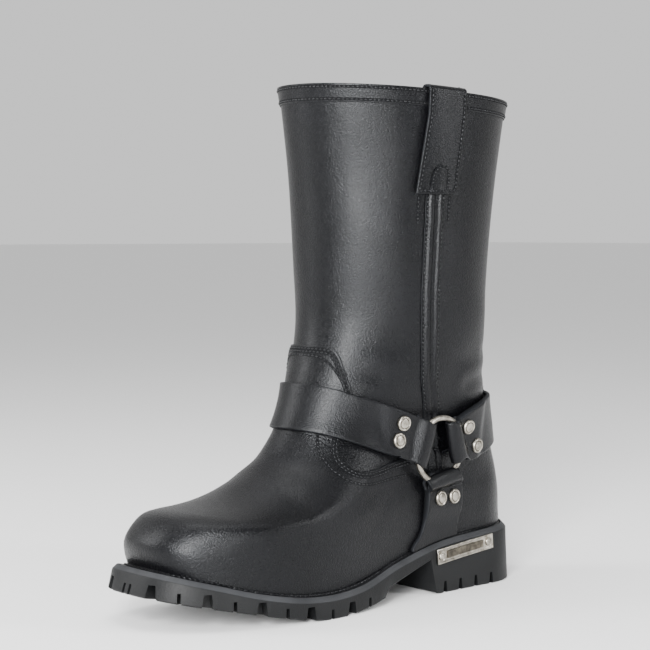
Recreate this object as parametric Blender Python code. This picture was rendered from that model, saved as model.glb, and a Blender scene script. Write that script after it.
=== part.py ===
"""Left harness boot: a hollow upper on a moulded rubber sole, with straps joined at a ring on each side.

Tables and sizes are in millimetres and become metres when a mesh is made. While it is built, the boot has
x = 0 at the back edge of the sole, +x towards the toe, +y towards the outer side and z = 0 on the floor.
At the end everything is moved so that the origin is on the floor under the middle of the boot's box.
"""

import math

import bmesh
import bpy
import numpy as np
from mathutils import Matrix, Vector

MM = 0.001
GAP = 0.3

# Places well outside the boot, for the far edges of a cutter
PAST_TOE = 330.0
PAST_HEEL = -30.0
BELOW = -10.0
ABOVE = 400.0
REACH = 120.0

# Driving sizes of the sole
SOLE_LENGTH = 308.0
HEEL_LENGTH = 90.0
BREAST_LEAN = 6.0
BREAST_TOP = 24.0
TREAD_START = 144.0
TREAD_START_TOP = 10.5
RIM_WIDTH = 3.0
RIM_BEVEL = 1.6
WELT_RECESS = 3.0
WELT_DROP = 0.9
FLOOR_GAP = 0.45
BACK_FLARE = 3.0
BACK_FLARE_LENGTH = 60.0
TOE_FLARE = 4.0
TOE_FLARE_LENGTH = 58.0
SOLE_STATIONS = 26
STATION_CLEAR = 2.5

# Driving sizes of the leather
WALL = 2.2
LAYER = 1.5
STRAP_THICK = 3.0
STRAP_DOUBLE = 5.2
INSOLE_THICK = 3.5
FEATHER_INSET = 5.0

# Facets of the upper: columns around it, and rows to each step of its table up to the ankle
COLUMNS = 32
ROWS_PER_STEP = 2
ANKLE = 7
SURFACE_STEPS = 20

# Offsets from the outer face of the upper, each pair the inner and outer face of a layer
OVERLAY = (GAP, GAP + LAYER)
OVER_TOP = GAP + LAYER + GAP
STRAP = (OVER_TOP, OVER_TOP + STRAP_THICK)
STRAP_END = (OVER_TOP, OVER_TOP + STRAP_DOUBLE)

# Driving sizes of the metal
RING_OUTER = 47.5
WIRE = 4.0
RING_CENTRE = (91.5, 100.5)
RING_STEPS = 24
WIRE_STEPS = 6
RIVET_STEPS = 10
RIVET_SEAT = 0.5
RIVET_PROFILE = [(0.0, 1.9), (3.4, 1.5), (5.2, 0.3), (5.2, 0.0), (0.0, 0.0)]
PLATE_CENTRE = (62.0, 28.2)
PLATE_SIZE = (57.0, 10.4)
PLATE_THICK = 1.2
PLATE_GAP = 0.4
PLATE_STATIONS = 9
PLATE_TILT = math.radians(5.2)
PIN_RADIUS = 3.2
PIN_TAPER = 0.5
PIN_PROUD = 0.9
PIN_INSET = 5.6
PIN_STEPS = 14

# Foot along the sole: share of the sole's length, middle line and half width
FOOT_COLUMNS = ("share", "axis", "half")
FOOT = [
    (0.00, 0.0, 35.8),
    (0.13, -1.0, 37.9),
    (0.28, 1.9, 38.4),
    (0.42, 4.1, 42.1),
    (0.55, 3.2, 51.2),
    (0.68, 0.2, 56.7),
    (0.80, -3.0, 54.3),
    (0.90, -6.4, 45.8),
    (1.00, -9.0, 38.9),
]

# Height of the sole's top edge, where upper and sole meet, by share of its length
TOP = [(0.00, 41.5), (0.14, 38.5), (0.28, 35.2), (0.42, 26.6), (0.55, 17.0), (0.68, 15.6), (0.80, 21.3),
       (0.90, 29.5), (1.00, 37.9)]

# Underside of the tread by share of the length: flat under the ball, then toe spring
FLAT_FROM = 0.595
FLAT_TO = 0.655
TREAD = [(0.46, 6.2), (0.50, 3.6), (0.55, 1.3), (FLAT_FROM, 0.0), (FLAT_TO, 0.0), (0.714, 2.6), (0.771, 6.0),
         (0.828, 9.6), (0.877, 12.8), (0.925, 16.0), (1.00, 21.5)]

# Ends of the sole's outline, as superellipses
SOLE_BACK_CAP = 34.0
SOLE_BACK_POWER = 2.2
SOLE_FRONT_CAP = 34.0
SOLE_FRONT_POWER = 2.6

# Loops of the upper from the feather line to the collar. Each runs from a point on the back line to one
# on the front line. shaft is the share of the shaft's own width against the foot's, dip how far the loop
# follows the curve of the sole's top, and the caps close its two ends.
UPPER_COLUMNS = ("name", "back_x", "back_z", "front_x", "front_z", "shaft", "width", "bulge",
                 "back_cap", "back_power", "front_cap", "front_power", "dip", "axis")
UPPER = [
    ("feather", FEATHER_INSET, 41.5, 296.0, 34.0, 0.00, 50.0, 0.93, 34.0, 2.3, 30.0, 2.6, 1.00, 0.0),
    ("toe face", 5.0, 52.0, 299.5, 50.0, 0.00, 50.0, 0.95, 36.0, 2.2, 34.0, 2.6, 0.85, 0.0),
    ("toe brow", 5.0, 61.0, 287.0, 67.5, 0.00, 50.0, 0.96, 38.0, 2.2, 40.0, 2.4, 0.65, 0.0),
    ("toe top", 6.0, 70.0, 268.0, 72.5, 0.00, 50.0, 0.96, 38.0, 2.2, 60.0, 2.2, 0.45, 0.0),
    ("vamp low", 8.0, 82.0, 238.0, 79.0, 0.00, 50.0, 0.95, 40.0, 2.2, 80.0, 2.1, 0.25, -2.0),
    ("vamp", 11.5, 96.0, 203.0, 98.0, 0.10, 48.0, 0.94, 44.0, 2.1, 90.0, 2.0, 0.10, -4.0),
    ("instep", 15.0, 112.0, 185.0, 121.5, 0.30, 47.0, 0.95, 50.0, 2.1, 90.0, 2.0, 0.00, -5.0),
    ("ankle", 20.5, 134.0, 176.0, 146.0, 0.60, 50.0, 1.00, 60.0, 2.1, 80.0, 2.0, 0.00, -5.0),
    ("shaft low", 22.5, 170.0, 167.0, 182.0, 0.90, 52.5, 1.00, 66.0, 2.0, 72.0, 2.0, 0.00, -5.0),
    ("shaft mid", 21.5, 215.0, 167.0, 225.0, 1.00, 54.5, 1.00, 69.0, 2.0, 69.0, 2.0, 0.00, -5.0),
    ("shaft high", 15.0, 275.0, 170.0, 282.0, 1.00, 57.5, 1.00, 75.0, 2.0, 75.0, 2.0, 0.00, -5.0),
    ("collar", 4.5, 338.0, 182.0, 346.0, 1.00, 60.0, 1.00, 81.0, 2.0, 81.0, 2.0, 0.00, -5.0),
]
UPPER_PLACE = {row[0]: place for place, row in enumerate(UPPER)}
FEATHER_ROW = dict(zip(UPPER_COLUMNS, UPPER[0]))
COLLAR_ROW = dict(zip(UPPER_COLUMNS, UPPER[-1]))
CAP_OVERRUN = 4.0

# Outlines of the overlays seen from the side, as points (x, z)
VAMP_TAB_TOP = 171.0
VAMP_BACK = 86.0
VAMP_EDGE = [(163.0, VAMP_TAB_TOP), (159.5, 167.0), (158.5, 156.0), (156.5, 146.0), (155.5, 138.0), (159.0, 124.0),
             (167.0, 110.0), (170.0, 102.0), (167.5, 93.0), (160.0, 89.0), (142.0, 91.0), (125.0, 94.0), (104.0, 96.5),
             (VAMP_BACK, 97.0)]
COUNTER_FRONT = 82.0
COUNTER_TOP = 212.0
COUNTER_EDGE = [(COUNTER_FRONT, 96.0), (60.0, 101.0), (40.0, 108.0), (27.0, 120.0), (25.0, 150.0), (25.5, 200.0),
                (23.0, 208.0), (17.0, COUNTER_TOP)]
COLLAR_BAND_HEIGHT = 12.0

# Middle of the side seam, as points (height, x)
SEAM_TOP = 325.0
SEAM_LINE = [(98.6, 88.0), (126.0, 94.0), (148.0, 101.0), (208.0, 106.0), (268.0, 106.0), (301.0, 102.0),
             (SEAM_TOP, 99.0)]
SEAM_WIDTH = 14.0

# Pull strap: its tail outside, its turn over the collar, and its tail inside
PULL_WIDTH = 31.0
PULL_BOTTOM = 272.0
PULL_INSIDE = 30.0
PULL_THICK = 2.4
PULL_OFFSET = OVER_TOP + 0.25
PULL_UNDER_EDGE = 1.0
PULL_LINES = 4
PULL_ROWS_OUTSIDE = 5
PULL_ROWS_INSIDE = 3
PULL_TURN = (30, 60, 90, 120, 150)

# Edges of the harness straps seen from the side, as points (x, z)
FRONT_STRAP_TOP = [(98.0, 121.0), (129.0, 131.0), (156.0, 140.0), (166.0, 144.0), (180.0, 146.5), (206.0, 150.0)]
FRONT_STRAP_BOTTOM = [(98.0, 91.0), (109.0, 91.5), (128.0, 96.5), (149.0, 104.0), (172.0, 112.0), (184.0, 115.0),
                      (210.0, 119.0)]
BACK_STRAP_TOP = [(78.0, 121.0), (61.0, 127.5), (42.0, 133.0), (20.0, 138.0), (-12.0, 143.0)]
BACK_STRAP_BOTTOM = [(72.0, 92.0), (60.0, 89.0), (42.0, 92.0), (20.0, 98.0), (-12.0, 104.0)]
ARCH_STRAP_FRONT = [(98.0, 80.0), (101.0, 66.0), (101.0, 52.0), (105.0, 42.0), (112.0, 36.0)]
ARCH_STRAP_BACK = [(65.5, 82.0), (63.5, 70.0), (64.0, 60.0), (67.0, 43.0)]
ARCH_FOOT = (114.0, 66.0)
ARCH_FOOT_LIFT = 0.7

# Where each strap's doubled end stops, and the arch strap's whole doubled end
FRONT_DOUBLE = 138.0
BACK_DOUBLE = 44.0
DOUBLE_POINTS = 4
END_INSET = 0.4
ARCH_DOUBLE = [(97.6, 79.6), (100.6, 66.0), (100.6, 57.0), (64.4, 57.0), (64.0, 70.0), (65.9, 79.6)]

# The fold of each strap that holds the ring: direction in degrees from +x towards +z, near and far edge
# from the ring's centre, and width along the ring
FOLDS = {"front": (16.0, 9.5, 26.0, 29.0), "back": (163.0, 9.5, 26.0, 29.0), "arch": (259.0, 15.5, 28.0, 30.0)}
FOLD_HEIGHT = 5.0
FOLD_STEPS = 10
FOLD_CLEAR = 0.8
FOLD_SHARES = (-0.9, -0.5, 0.0, 0.5, 0.9)
RIVETS = {"front": [(124.0, 121.0), (128.0, 108.0)], "back": [(63.0, 115.0), (52.0, 100.0)],
          "arch": [(88.5, 66.0), (74.5, 66.0)]}

# Gaps between the lugs along the edge of the tread: width at the floor, width at the top, height and depth
LUG_PITCH = 17.6
WIDE_GAP = (8.0, 5.0, 8.5, 11.0)
NARROW_GAP = (2.6, 2.2, 6.5, 8.0)
HEEL_NOTCH = (4.0, 2.2, 8.0, 7.0)
HEEL_NOTCHES = 4
HEEL_NOTCH_PITCH = 15.8
HEEL_NOTCH_START = 9.0
NOTCH_BELOW = 3.0
NOTCH_OUTSIDE = 8.0

# Channels across the tread between the wide gaps
CHANNELS = 4
CHANNEL_PITCH = 34.7
CHANNEL_HEIGHT = 3.6
CHANNEL_OVERRUN = 1.0
OUTLINE_STEPS = 60

SHARP_ANGLE = math.radians(32)
SIDES = {"outer": 1, "inner": -1}


def clear_scene():
    for old in list(bpy.data.objects):
        bpy.data.objects.remove(old, do_unlink=True)


def finish(name, colour, roughness, metallic):
    """A Principled material of one colour."""
    made = bpy.data.materials.new(name)
    made.use_nodes = True
    shader = made.node_tree.nodes["Principled BSDF"]
    shader.inputs["Base Color"].default_value = (*colour, 1.0)
    shader.inputs["Roughness"].default_value = roughness
    shader.inputs["Metallic"].default_value = metallic
    return made


def cubic(knots, x):
    """Smooth curve through a table of (position, value), read at x."""
    xs = np.array([k[0] for k in knots], float)
    ys = np.array([k[1] for k in knots], float)
    x = np.clip(x, xs[0], xs[-1])
    slopes = np.gradient(ys, xs, axis=0)
    i = np.clip(np.searchsorted(xs, x, side="right") - 1, 0, len(xs) - 2)
    h = xs[i + 1] - xs[i]
    t = (x - xs[i]) / h
    rise = (2 * t**3 - 3 * t**2 + 1) * ys[i] + (-2 * t**3 + 3 * t**2) * ys[i + 1]
    return rise + h * ((t**3 - 2 * t**2 + t) * slopes[i] + (t**3 - t**2) * slopes[i + 1])


def linear(knots, x):
    return np.interp(x, [k[0] for k in knots], [k[1] for k in knots])


def cap(depth, length, power):
    """Superellipse that closes an outline: 0 at its end, 1 from length on."""
    t = np.clip(1 - depth / length, 0, 1)
    return (1 - t**power) ** (1 / power)


def spread(count):
    """Shares from 0 to 1, closer together at both ends."""
    return (1 - np.cos(np.linspace(0, math.pi, count))) / 2


def both_sides(x, axis, half, *heights):
    """Closed outline from the back along the inner side to the front and back along the outer side."""
    inner = np.stack([x, axis - half, *heights], 1)
    outer = np.stack([x, axis + half, *heights], 1)
    return np.concatenate([inner, outer[::-1][1:-1]])


def foot(column, x):
    at = FOOT_COLUMNS.index(column)
    return cubic([(row[0], row[at]) for row in FOOT], x / SOLE_LENGTH)


def sole_top(x):
    return cubic(TOP, x / SOLE_LENGTH)


def tread(x):
    """Underside of the forefoot. Straight between its rows, so that the flat spot is flat."""
    return linear(TREAD, x / SOLE_LENGTH)


def sole_half(x, inset=0.0):
    back = cap(x - inset, SOLE_BACK_CAP, SOLE_BACK_POWER)
    front = cap(SOLE_LENGTH - inset - x, SOLE_FRONT_CAP, SOLE_FRONT_POWER)
    return (foot("half", x) - inset) * back * front


def upper_row(v):
    """Every column of the upper's table at place v, counted in rows."""
    values = cubic([(i, row[1:]) for i, row in enumerate(UPPER)], v)
    return dict(zip(UPPER_COLUMNS[1:], values))


def upper_half_loop(v, u):
    """Points x, axis, half width and z of one loop, u from 0 at the back to 1 at the front."""
    row = upper_row(v)
    length = row["front_x"] - row["back_x"]
    x = row["back_x"] + u * length
    z = row["back_z"] + u * (row["front_z"] - row["back_z"])
    start = FEATHER_ROW
    share = (x - start["back_x"]) / (start["front_x"] - start["back_x"])
    chord = start["back_z"] + share * (start["front_z"] - start["back_z"])
    z = z + row["dip"] * (sole_top(x) - chord)
    wide = (foot("half", x) - FEATHER_INSET) * row["bulge"]
    half = (1 - row["shaft"]) * wide + row["shaft"] * row["width"]
    longest = length / 2 + CAP_OVERRUN
    half = half * cap(x - row["back_x"], min(row["back_cap"], longest), row["back_power"])
    half = half * cap(row["front_x"] - x, min(row["front_cap"], longest), row["front_power"])
    axis = (1 - row["shaft"]) * foot("axis", x) + row["axis"] * u
    return x, axis, half, z


def upper_loop(v):
    return both_sides(*upper_half_loop(v, spread(COLUMNS // 2 + 1)))


def upper_places():
    """Rows of facets: several to each step of the table up to the ankle, and one to a step above it."""
    low = np.linspace(0, ANKLE, ANKLE * ROWS_PER_STEP + 1)
    return np.concatenate([low, np.arange(ANKLE + 1, len(UPPER))])


def upper_normals(grid):
    """Outward unit normals of a grid of loops, level along the feather line."""
    along = np.roll(grid, -1, axis=1) - np.roll(grid, 1, axis=1)
    up = np.gradient(grid, axis=0)
    normal = np.cross(along, up)
    normal[0, :, 2] = 0.0
    normal /= np.linalg.norm(normal, axis=-1, keepdims=True)
    return normal


UPPER_PLACES = upper_places()
UPPER_GRID = np.array([upper_loop(v) for v in UPPER_PLACES])
UPPER_NORMALS = upper_normals(UPPER_GRID)


def offset_grid(offset, low="feather", high="collar"):
    """The upper's own loops moved out by offset, between two named rows of its table."""
    kept = (UPPER_PLACES >= UPPER_PLACE[low]) & (UPPER_PLACES <= UPPER_PLACE[high])
    return (UPPER_GRID + offset * UPPER_NORMALS)[kept]


def surface_frame(x, z, side):
    """Point and outward normal of the upper on one side, at a place seen from the side."""
    edge, step = 0.001, 0.05
    low, high = 0.0, len(UPPER) - 1.0
    for _ in range(SURFACE_STEPS):
        v = (low + high) / 2
        row = upper_row(v)
        u = np.clip((x - row["back_x"]) / (row["front_x"] - row["back_x"]), edge, 1 - edge)
        height = upper_half_loop(v, u)[3]
        low, high = (v, high) if height < z else (low, v)

    def point(at_v, at_u):
        px, axis, half, pz = upper_half_loop(at_v, at_u)
        return np.array([px, axis + side * half, pz], float)

    step_v = step if v < len(UPPER) - 1 - step else -step
    across = point(v, min(u + 0.01, 1 - edge)) - point(v, max(u - 0.01, edge))
    up = (point(v + step_v, u) - point(v, u)) * math.copysign(1, step_v)
    normal = np.cross(up, across) * side
    normal /= np.linalg.norm(normal)
    return point(v, u), normal


def surface_point(x, z, side, offset):
    point, normal = surface_frame(x, z, side)
    return point + offset * normal


def object_from_bmesh(name, built):
    bmesh.ops.recalc_face_normals(built, faces=built.faces)
    mesh = bpy.data.meshes.new(name)
    built.to_mesh(mesh)
    built.free()
    made = bpy.data.objects.new(name, mesh)
    PARTS.objects.link(made)
    return made


def join_loops(built, first, second):
    """Triangles between two loops. Every layer is split along the same diagonal, so layers stay parallel."""
    rising = sum(v.co.z for v in second) >= sum(v.co.z for v in first)
    for i in range(len(first)):
        j = (i + 1) % len(first)
        if rising:
            built.faces.new((first[i], first[j], second[j]))
            built.faces.new((first[i], second[j], second[i]))
        else:
            built.faces.new((first[i], first[j], second[i]))
            built.faces.new((first[j], second[j], second[i]))


def bridge_across(built, ring):
    """Fills a loop whose points lie in pairs across the sole, with one face between each two pairs."""
    count = len(ring)
    for i in range(count // 2):
        pairs = (ring[i], ring[i + 1], ring[(count - i - 1) % count], ring[(count - i) % count])
        corners = list(dict.fromkeys(pairs))
        if len(corners) > 2:
            built.faces.new(corners)


def loft(name, loops, ends):
    """Skin through loops of equal length. ends is joined, flat, or bridged across in pairs."""
    built = bmesh.new()
    rings = [[built.verts.new(Vector(p) * MM) for p in loop] for loop in loops]
    pairs = list(zip(rings, rings[1:]))
    if ends == "joined":
        pairs.append((rings[-1], rings[0]))
    for first, second in pairs:
        join_loops(built, first, second)
    for ring in (rings[0], rings[-1]):
        if ends == "flat":
            built.faces.new(ring)
        if ends == "bridged":
            bridge_across(built, ring)
    return object_from_bmesh(name, built)


def shell(name, inner, outer, low="feather", high="collar"):
    """A layer of the upper between two offsets, open at both ends like a tube."""
    outside = list(offset_grid(outer, low, high))
    inside = list(offset_grid(inner, low, high))
    return loft(name, outside + inside[::-1], "joined")


def prism(outline, y_from=-REACH, y_to=REACH):
    """A block with an outline seen from the side, points (x, z)."""
    built = bmesh.new()
    near = [built.verts.new(Vector((x, y_from, z)) * MM) for x, z in outline]
    far = [built.verts.new(Vector((x, y_to, z)) * MM) for x, z in outline]
    built.faces.new(near)
    built.faces.new(far[::-1])
    for i in range(len(outline)):
        j = (i + 1) % len(outline)
        built.faces.new((near[i], far[i], far[j], near[j]))
    return object_from_bmesh("cutter", built)


def combine(body, operation, *tools, solver="EXACT"):
    """Applies a Boolean with each tool in turn and removes the tools."""
    for tool in tools:
        change = body.modifiers.new(operation.lower(), "BOOLEAN")
        change.operation = operation
        change.solver = solver
        change.object = tool
        settled = body.evaluated_get(bpy.context.evaluated_depsgraph_get())
        mesh = bpy.data.meshes.new_from_object(settled)
        body.modifiers.clear()
        body.data = mesh
        bpy.data.objects.remove(tool, do_unlink=True)
    return body


def place(made, point, x_axis, z_axis):
    """Moves an object to a point with two of its axes given, and applies that to its mesh."""
    z_axis = Vector(z_axis).normalized()
    x_axis = Vector(x_axis)
    x_axis = (x_axis - z_axis * x_axis.dot(z_axis)).normalized()
    y_axis = z_axis.cross(x_axis)
    turn = Matrix((x_axis, y_axis, z_axis)).transposed().to_4x4()
    made.data.transform(Matrix.Translation(Vector(point) * MM) @ turn)


def rubber_stations():
    """Places along the sole, closer at both ends, with one at each step of the underside."""
    steps = [HEEL_LENGTH, HEEL_LENGTH + BREAST_LEAN, TREAD_START, FLAT_FROM * SOLE_LENGTH, FLAT_TO * SOLE_LENGTH]
    even = spread(SOLE_STATIONS) * SOLE_LENGTH
    kept = [x for x in even if min(abs(x - s) for s in steps) > STATION_CLEAR]
    return np.array(sorted(kept + steps))


def underside(x):
    """Height of the sole's underside: heel, breast, arch, tread."""
    arch = [(HEEL_LENGTH, 0.0), (HEEL_LENGTH + BREAST_LEAN, BREAST_TOP), (TREAD_START, TREAD_START_TOP)]
    if x <= HEEL_LENGTH:
        return 0.0
    if x <= TREAD_START:
        return float(linear(arch, x))
    return float(tread(x))


def flare(x):
    """How far the foot of the wall stands out past its top, at the heel's back and at the toe."""
    back = np.clip(1 - x / BACK_FLARE_LENGTH, 0, 1)
    front = np.clip(1 - (SOLE_LENGTH - x) / TOE_FLARE_LENGTH, 0, 1)
    return TOE_FLARE * front**2 - BACK_FLARE * back**2


def sole_loops():
    """Closed loops of the rubber's wall: foot, top edge, bevel, inner edge of the rim and recess floor."""
    x = rubber_stations()

    def loop(inset, height, shift=0.0):
        inside = inset + x * (1 - 2 * inset / SOLE_LENGTH)
        z = [height(at) for at in inside]
        return both_sides(inside + shift * flare(x), foot("axis", inside), sole_half(inside, inset), z)

    return [
        loop(0.0, underside, 1.0),
        loop(0.0, lambda at: float(sole_top(at)) - RIM_BEVEL),
        loop(RIM_BEVEL, lambda at: float(sole_top(at))),
        loop(RIM_WIDTH, lambda at: float(sole_top(at))),
        loop(RIM_WIDTH, lambda at: float(sole_top(at)) - WELT_RECESS),
    ]


def edge_run(side):
    """The sole's edge from the tread's start to the toe: distance along it, x and y."""
    turn = SOLE_LENGTH - SOLE_FRONT_CAP
    straight = np.linspace(TREAD_START, turn, OUTLINE_STEPS)
    curved = turn + SOLE_FRONT_CAP * np.sin(np.linspace(0, math.pi / 2, OUTLINE_STEPS))
    x = np.concatenate([straight, curved[1:]])
    y = foot("axis", x) + side * sole_half(x)
    run = np.concatenate([[0], np.cumsum(np.hypot(np.diff(x), np.diff(y)))])
    return run, x, y


def edge_place(distance, side):
    """Point and inward direction on the sole's edge, at a distance along it from the tread's start."""
    run, x, y = edge_run(side)
    at, ahead = [np.array([np.interp(d, run, x), np.interp(d, run, y)]) for d in (distance, distance + 2)]
    along = (ahead - at) / np.linalg.norm(ahead - at)
    return at, side * np.array([along[1], -along[0]])


def notch(at, inward, floor, size):
    """Cutter for one gap between lugs: narrower at its top, open at the edge and below."""
    wide, narrow, height, depth = size
    across = np.array([-inward[1], inward[0]])
    spread_below = (wide - narrow) * NOTCH_BELOW / height
    loops = []
    for half, z in (((wide + spread_below) / 2, floor - NOTCH_BELOW), (narrow / 2, floor + height)):
        corners = [(-NOTCH_OUTSIDE, -half), (depth, -half), (depth, half), (-NOTCH_OUTSIDE, half)]
        loops.append([(*(at + a * inward + b * across), z) for a, b in corners])
    return loft("cutter", loops, "flat")


def channel(x):
    """Cutter for one groove across the tread, which runs into the gaps at both edges."""
    floor = float(tread(x))
    wide = WIDE_GAP[1] / 2
    span = float(sole_half(x)) - WIDE_GAP[3] + CHANNEL_OVERRUN
    middle = float(foot("axis", x))
    top = floor + CHANNEL_HEIGHT
    outline = [(x - wide, floor - NOTCH_BELOW), (x + wide, floor - NOTCH_BELOW), (x + wide, top), (x - wide, top)]
    return prism(outline, middle - span, middle + span)


def make_outsole():
    sole = loft("outsole", sole_loops(), "bridged")
    cutters = []
    for side in SIDES.values():
        gaps = int(edge_run(side)[0][-1] // LUG_PITCH)
        for i in range(1, gaps + 1):
            at, inward = edge_place(i * LUG_PITCH, side)
            size = NARROW_GAP if i % 2 else WIDE_GAP
            cutters.append(notch(at, inward, float(tread(at[0])), size))
        for i in range(HEEL_NOTCHES):
            x = HEEL_LENGTH - HEEL_NOTCH_START - i * HEEL_NOTCH_PITCH
            at = np.array([x, foot("axis", x) + side * sole_half(x)])
            cutters.append(notch(at, np.array([0.0, -side]), 0.0, HEEL_NOTCH))
    for i in range(CHANNELS):
        cutters.append(channel(TREAD_START + (i + 1) * CHANNEL_PITCH))
    return combine(sole, "DIFFERENCE", *cutters)


def make_welt():
    """Strip in the recess beside the upper. Its edges lie clear of the coarser loops on both sides."""
    inset = RIM_WIDTH + 2 * GAP
    x = inset + spread(COLUMNS // 2 + 1) * (SOLE_LENGTH - 2 * inset)
    outer = both_sides(x, foot("axis", x), sole_half(x, inset))
    inner = offset_grid(2 * GAP)[0][:, :2]
    low, high = FLOOR_GAP - WELT_RECESS, -WELT_DROP
    loops = []
    for outline, lift in ((outer, low), (outer, high), (inner, high), (inner, low)):
        loops.append([(x, y, float(sole_top(x)) + lift) for x, y in outline])
    return loft("welt", loops, "joined")


def make_insole():
    """Footbed on the sole, inside the upper's wall."""
    outline = offset_grid(-WALL - 2 * GAP)[0]
    low = FLOOR_GAP - WELT_RECESS
    loops = []
    for lift in (low, low + INSOLE_THICK):
        loops.append([(x, y, float(sole_top(x)) + lift) for x, y, _ in outline])
    return loft("insole", loops, "bridged")


def make_upper():
    """One hollow wall from the floor of the recess to the collar, open at both ends."""
    outside = list(offset_grid(0.0))
    inside = list(offset_grid(-WALL))
    skirt = np.array([0.0, 0.0, WELT_RECESS - FLOOR_GAP])
    inner_foot = inside[0] - skirt
    inner_foot[:, 2] = (outside[0] - skirt)[:, 2]
    return loft("upper", [outside[0] - skirt, *outside, *inside[::-1], inner_foot], "joined")


def make_vamp():
    """Second layer over the foot, with the tab that climbs the front of the shaft."""
    outline = [(PAST_TOE, VAMP_TAB_TOP), *VAMP_EDGE, (VAMP_BACK, BELOW), (PAST_TOE, BELOW)]
    return combine(shell("vamp", *OVERLAY, "feather", "shaft low"), "INTERSECT", prism(outline))


def make_counter():
    """Second layer around the heel, with its own tab up the back."""
    outline = [*COUNTER_EDGE, (PAST_HEEL, COUNTER_TOP), (PAST_HEEL, BELOW), (COUNTER_FRONT, BELOW)]
    return combine(shell("counter", *OVERLAY, "feather", "shaft mid"), "INTERSECT", prism(outline))


def collar_height(x):
    share = (x - COLLAR_ROW["back_x"]) / (COLLAR_ROW["front_x"] - COLLAR_ROW["back_x"])
    return COLLAR_ROW["back_z"] + share * (COLLAR_ROW["front_z"] - COLLAR_ROW["back_z"])


def make_collar_band():
    """Reinforcing band around the top edge."""
    low = [(x, collar_height(x) - COLLAR_BAND_HEIGHT) for x in (PAST_HEEL, PAST_TOE)]
    outline = [*low, (PAST_TOE, ABOVE), (PAST_HEEL, ABOVE)]
    return combine(shell("collar_band", *OVERLAY, "shaft high"), "INTERSECT", prism(outline))


def seam_x(z):
    return float(linear(SEAM_LINE, z))


def make_side_seam(side_name):
    """Raised closing seam, from just above the vamp to just under the collar band."""
    side = SIDES[side_name]
    front = [(x + SEAM_WIDTH / 2, z) for z, x in SEAM_LINE]
    back = [(x - SEAM_WIDTH / 2, z) for z, x in SEAM_LINE]
    block = prism(front + back[::-1], *sorted((0.0, side * REACH)))
    return combine(shell("side_seam_" + side_name, *OVERLAY, "vamp"), "INTERSECT", block)


def pull_line(at, side, offset):
    """One line along the pull strap at a distance from its middle: up, over the collar and down inside."""
    top = collar_height(seam_x(SEAM_TOP) + at)
    turn = top - PULL_UNDER_EDGE
    outside = [surface_point(seam_x(z) + at, z, side, offset)
               for z in np.linspace(PULL_BOTTOM, turn, PULL_ROWS_OUTSIDE)]
    edge, normal = surface_frame(seam_x(top) + at, turn, side)
    middle = edge - normal * WALL / 2 + np.array([0.0, 0.0, PULL_UNDER_EDGE])
    over = []
    for angle in np.radians(PULL_TURN):
        away = normal * math.cos(angle) + np.array([0.0, 0.0, 1.0]) * math.sin(angle)
        over.append(middle + (WALL / 2 + offset) * away)
    inside = [surface_point(seam_x(z) + at, z, side, -WALL - offset)
              for z in np.linspace(turn, top - PULL_INSIDE, PULL_ROWS_INSIDE)]
    return outside + over + inside


def make_pull_strap(side_name):
    """Band that lies on the shaft's outside, turns over the collar and ends inside it."""
    side = SIDES[side_name]
    across = np.linspace(-PULL_WIDTH / 2, PULL_WIDTH / 2, PULL_LINES)
    under = [pull_line(at, side, PULL_OFFSET) for at in across]
    over = [pull_line(at, side, PULL_OFFSET + PULL_THICK) for at in across]
    stations = [list(station) for station in zip(*under, *over[::-1])]
    return loft("pull_strap_" + side_name, stations, "flat")


def ring_seat(side):
    """Centre, outward normal and the two directions of the ring, as close as its folds and layers allow."""
    x, z = RING_CENTRE
    reach = RING_OUTER / 2 - WIRE
    front, back = [surface_point(x + d, z, side, 0.0) for d in (reach, -reach)]
    top, bottom = [surface_point(x, z + d, side, 0.0) for d in (reach, -reach)]
    normal = np.cross(top - bottom, front - back) * side
    normal /= np.linalg.norm(normal)
    forward = (front - back) / np.linalg.norm(front - back)
    upward = np.cross(normal, forward) * side
    upward *= math.copysign(1, upward[2])
    base = surface_point(x, z, side, 0.0)
    need = 0.0
    for direction, near, far, width in FOLDS.values():
        a = math.radians(direction)
        for share in FOLD_SHARES:
            radius = (near + far) / 2 + share * (far - near) / 2
            below = FOLD_HEIGHT * math.sqrt(1 - share**2)
            for across in (-width / 2, 0.0, width / 2):
                px = radius * math.cos(a) - across * math.sin(a)
                pz = radius * math.sin(a) + across * math.cos(a)
                under = base + px * forward + pz * upward
                seat = surface_point(under[0], under[2], side, OVER_TOP + FOLD_CLEAR)
                need = max(need, float(np.dot(seat - under, normal)) + below)
    return base + need * normal, normal, forward, upward


def wire_ring(name, side, radius):
    """Round ring at its seat. A thicker one cuts the way through the straps' folds."""
    middle, normal, forward, _ = SEATS[side]
    bpy.ops.mesh.primitive_torus_add(
        major_radius=(RING_OUTER - WIRE) / 2 * MM, minor_radius=radius * MM,
        major_segments=RING_STEPS, minor_segments=WIRE_STEPS)
    made = bpy.context.object
    made.name = name
    for group in list(made.users_collection):
        group.objects.unlink(made)
    PARTS.objects.link(made)
    place(made, middle, forward, normal)
    return made


def fold(which, side):
    """Rounded end of a strap, in which the ring lies."""
    direction, near, far, width = FOLDS[which]
    middle, normal, forward, upward = SEATS[side]
    a = math.radians(direction)
    outward = math.cos(a) * forward + math.sin(a) * upward
    across = -math.sin(a) * forward + math.cos(a) * upward
    centre = middle + outward * (near + far) / 2
    loops = []
    for end in (-width / 2, width / 2):
        loop = []
        for turn in np.linspace(0, 2 * math.pi, FOLD_STEPS, endpoint=False):
            point = centre + across * end + outward * math.cos(turn) * (far - near) / 2
            loop.append(point + normal * math.sin(turn) * FOLD_HEIGHT)
        loops.append(loop)
    return loft("cutter", loops, "flat")


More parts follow.
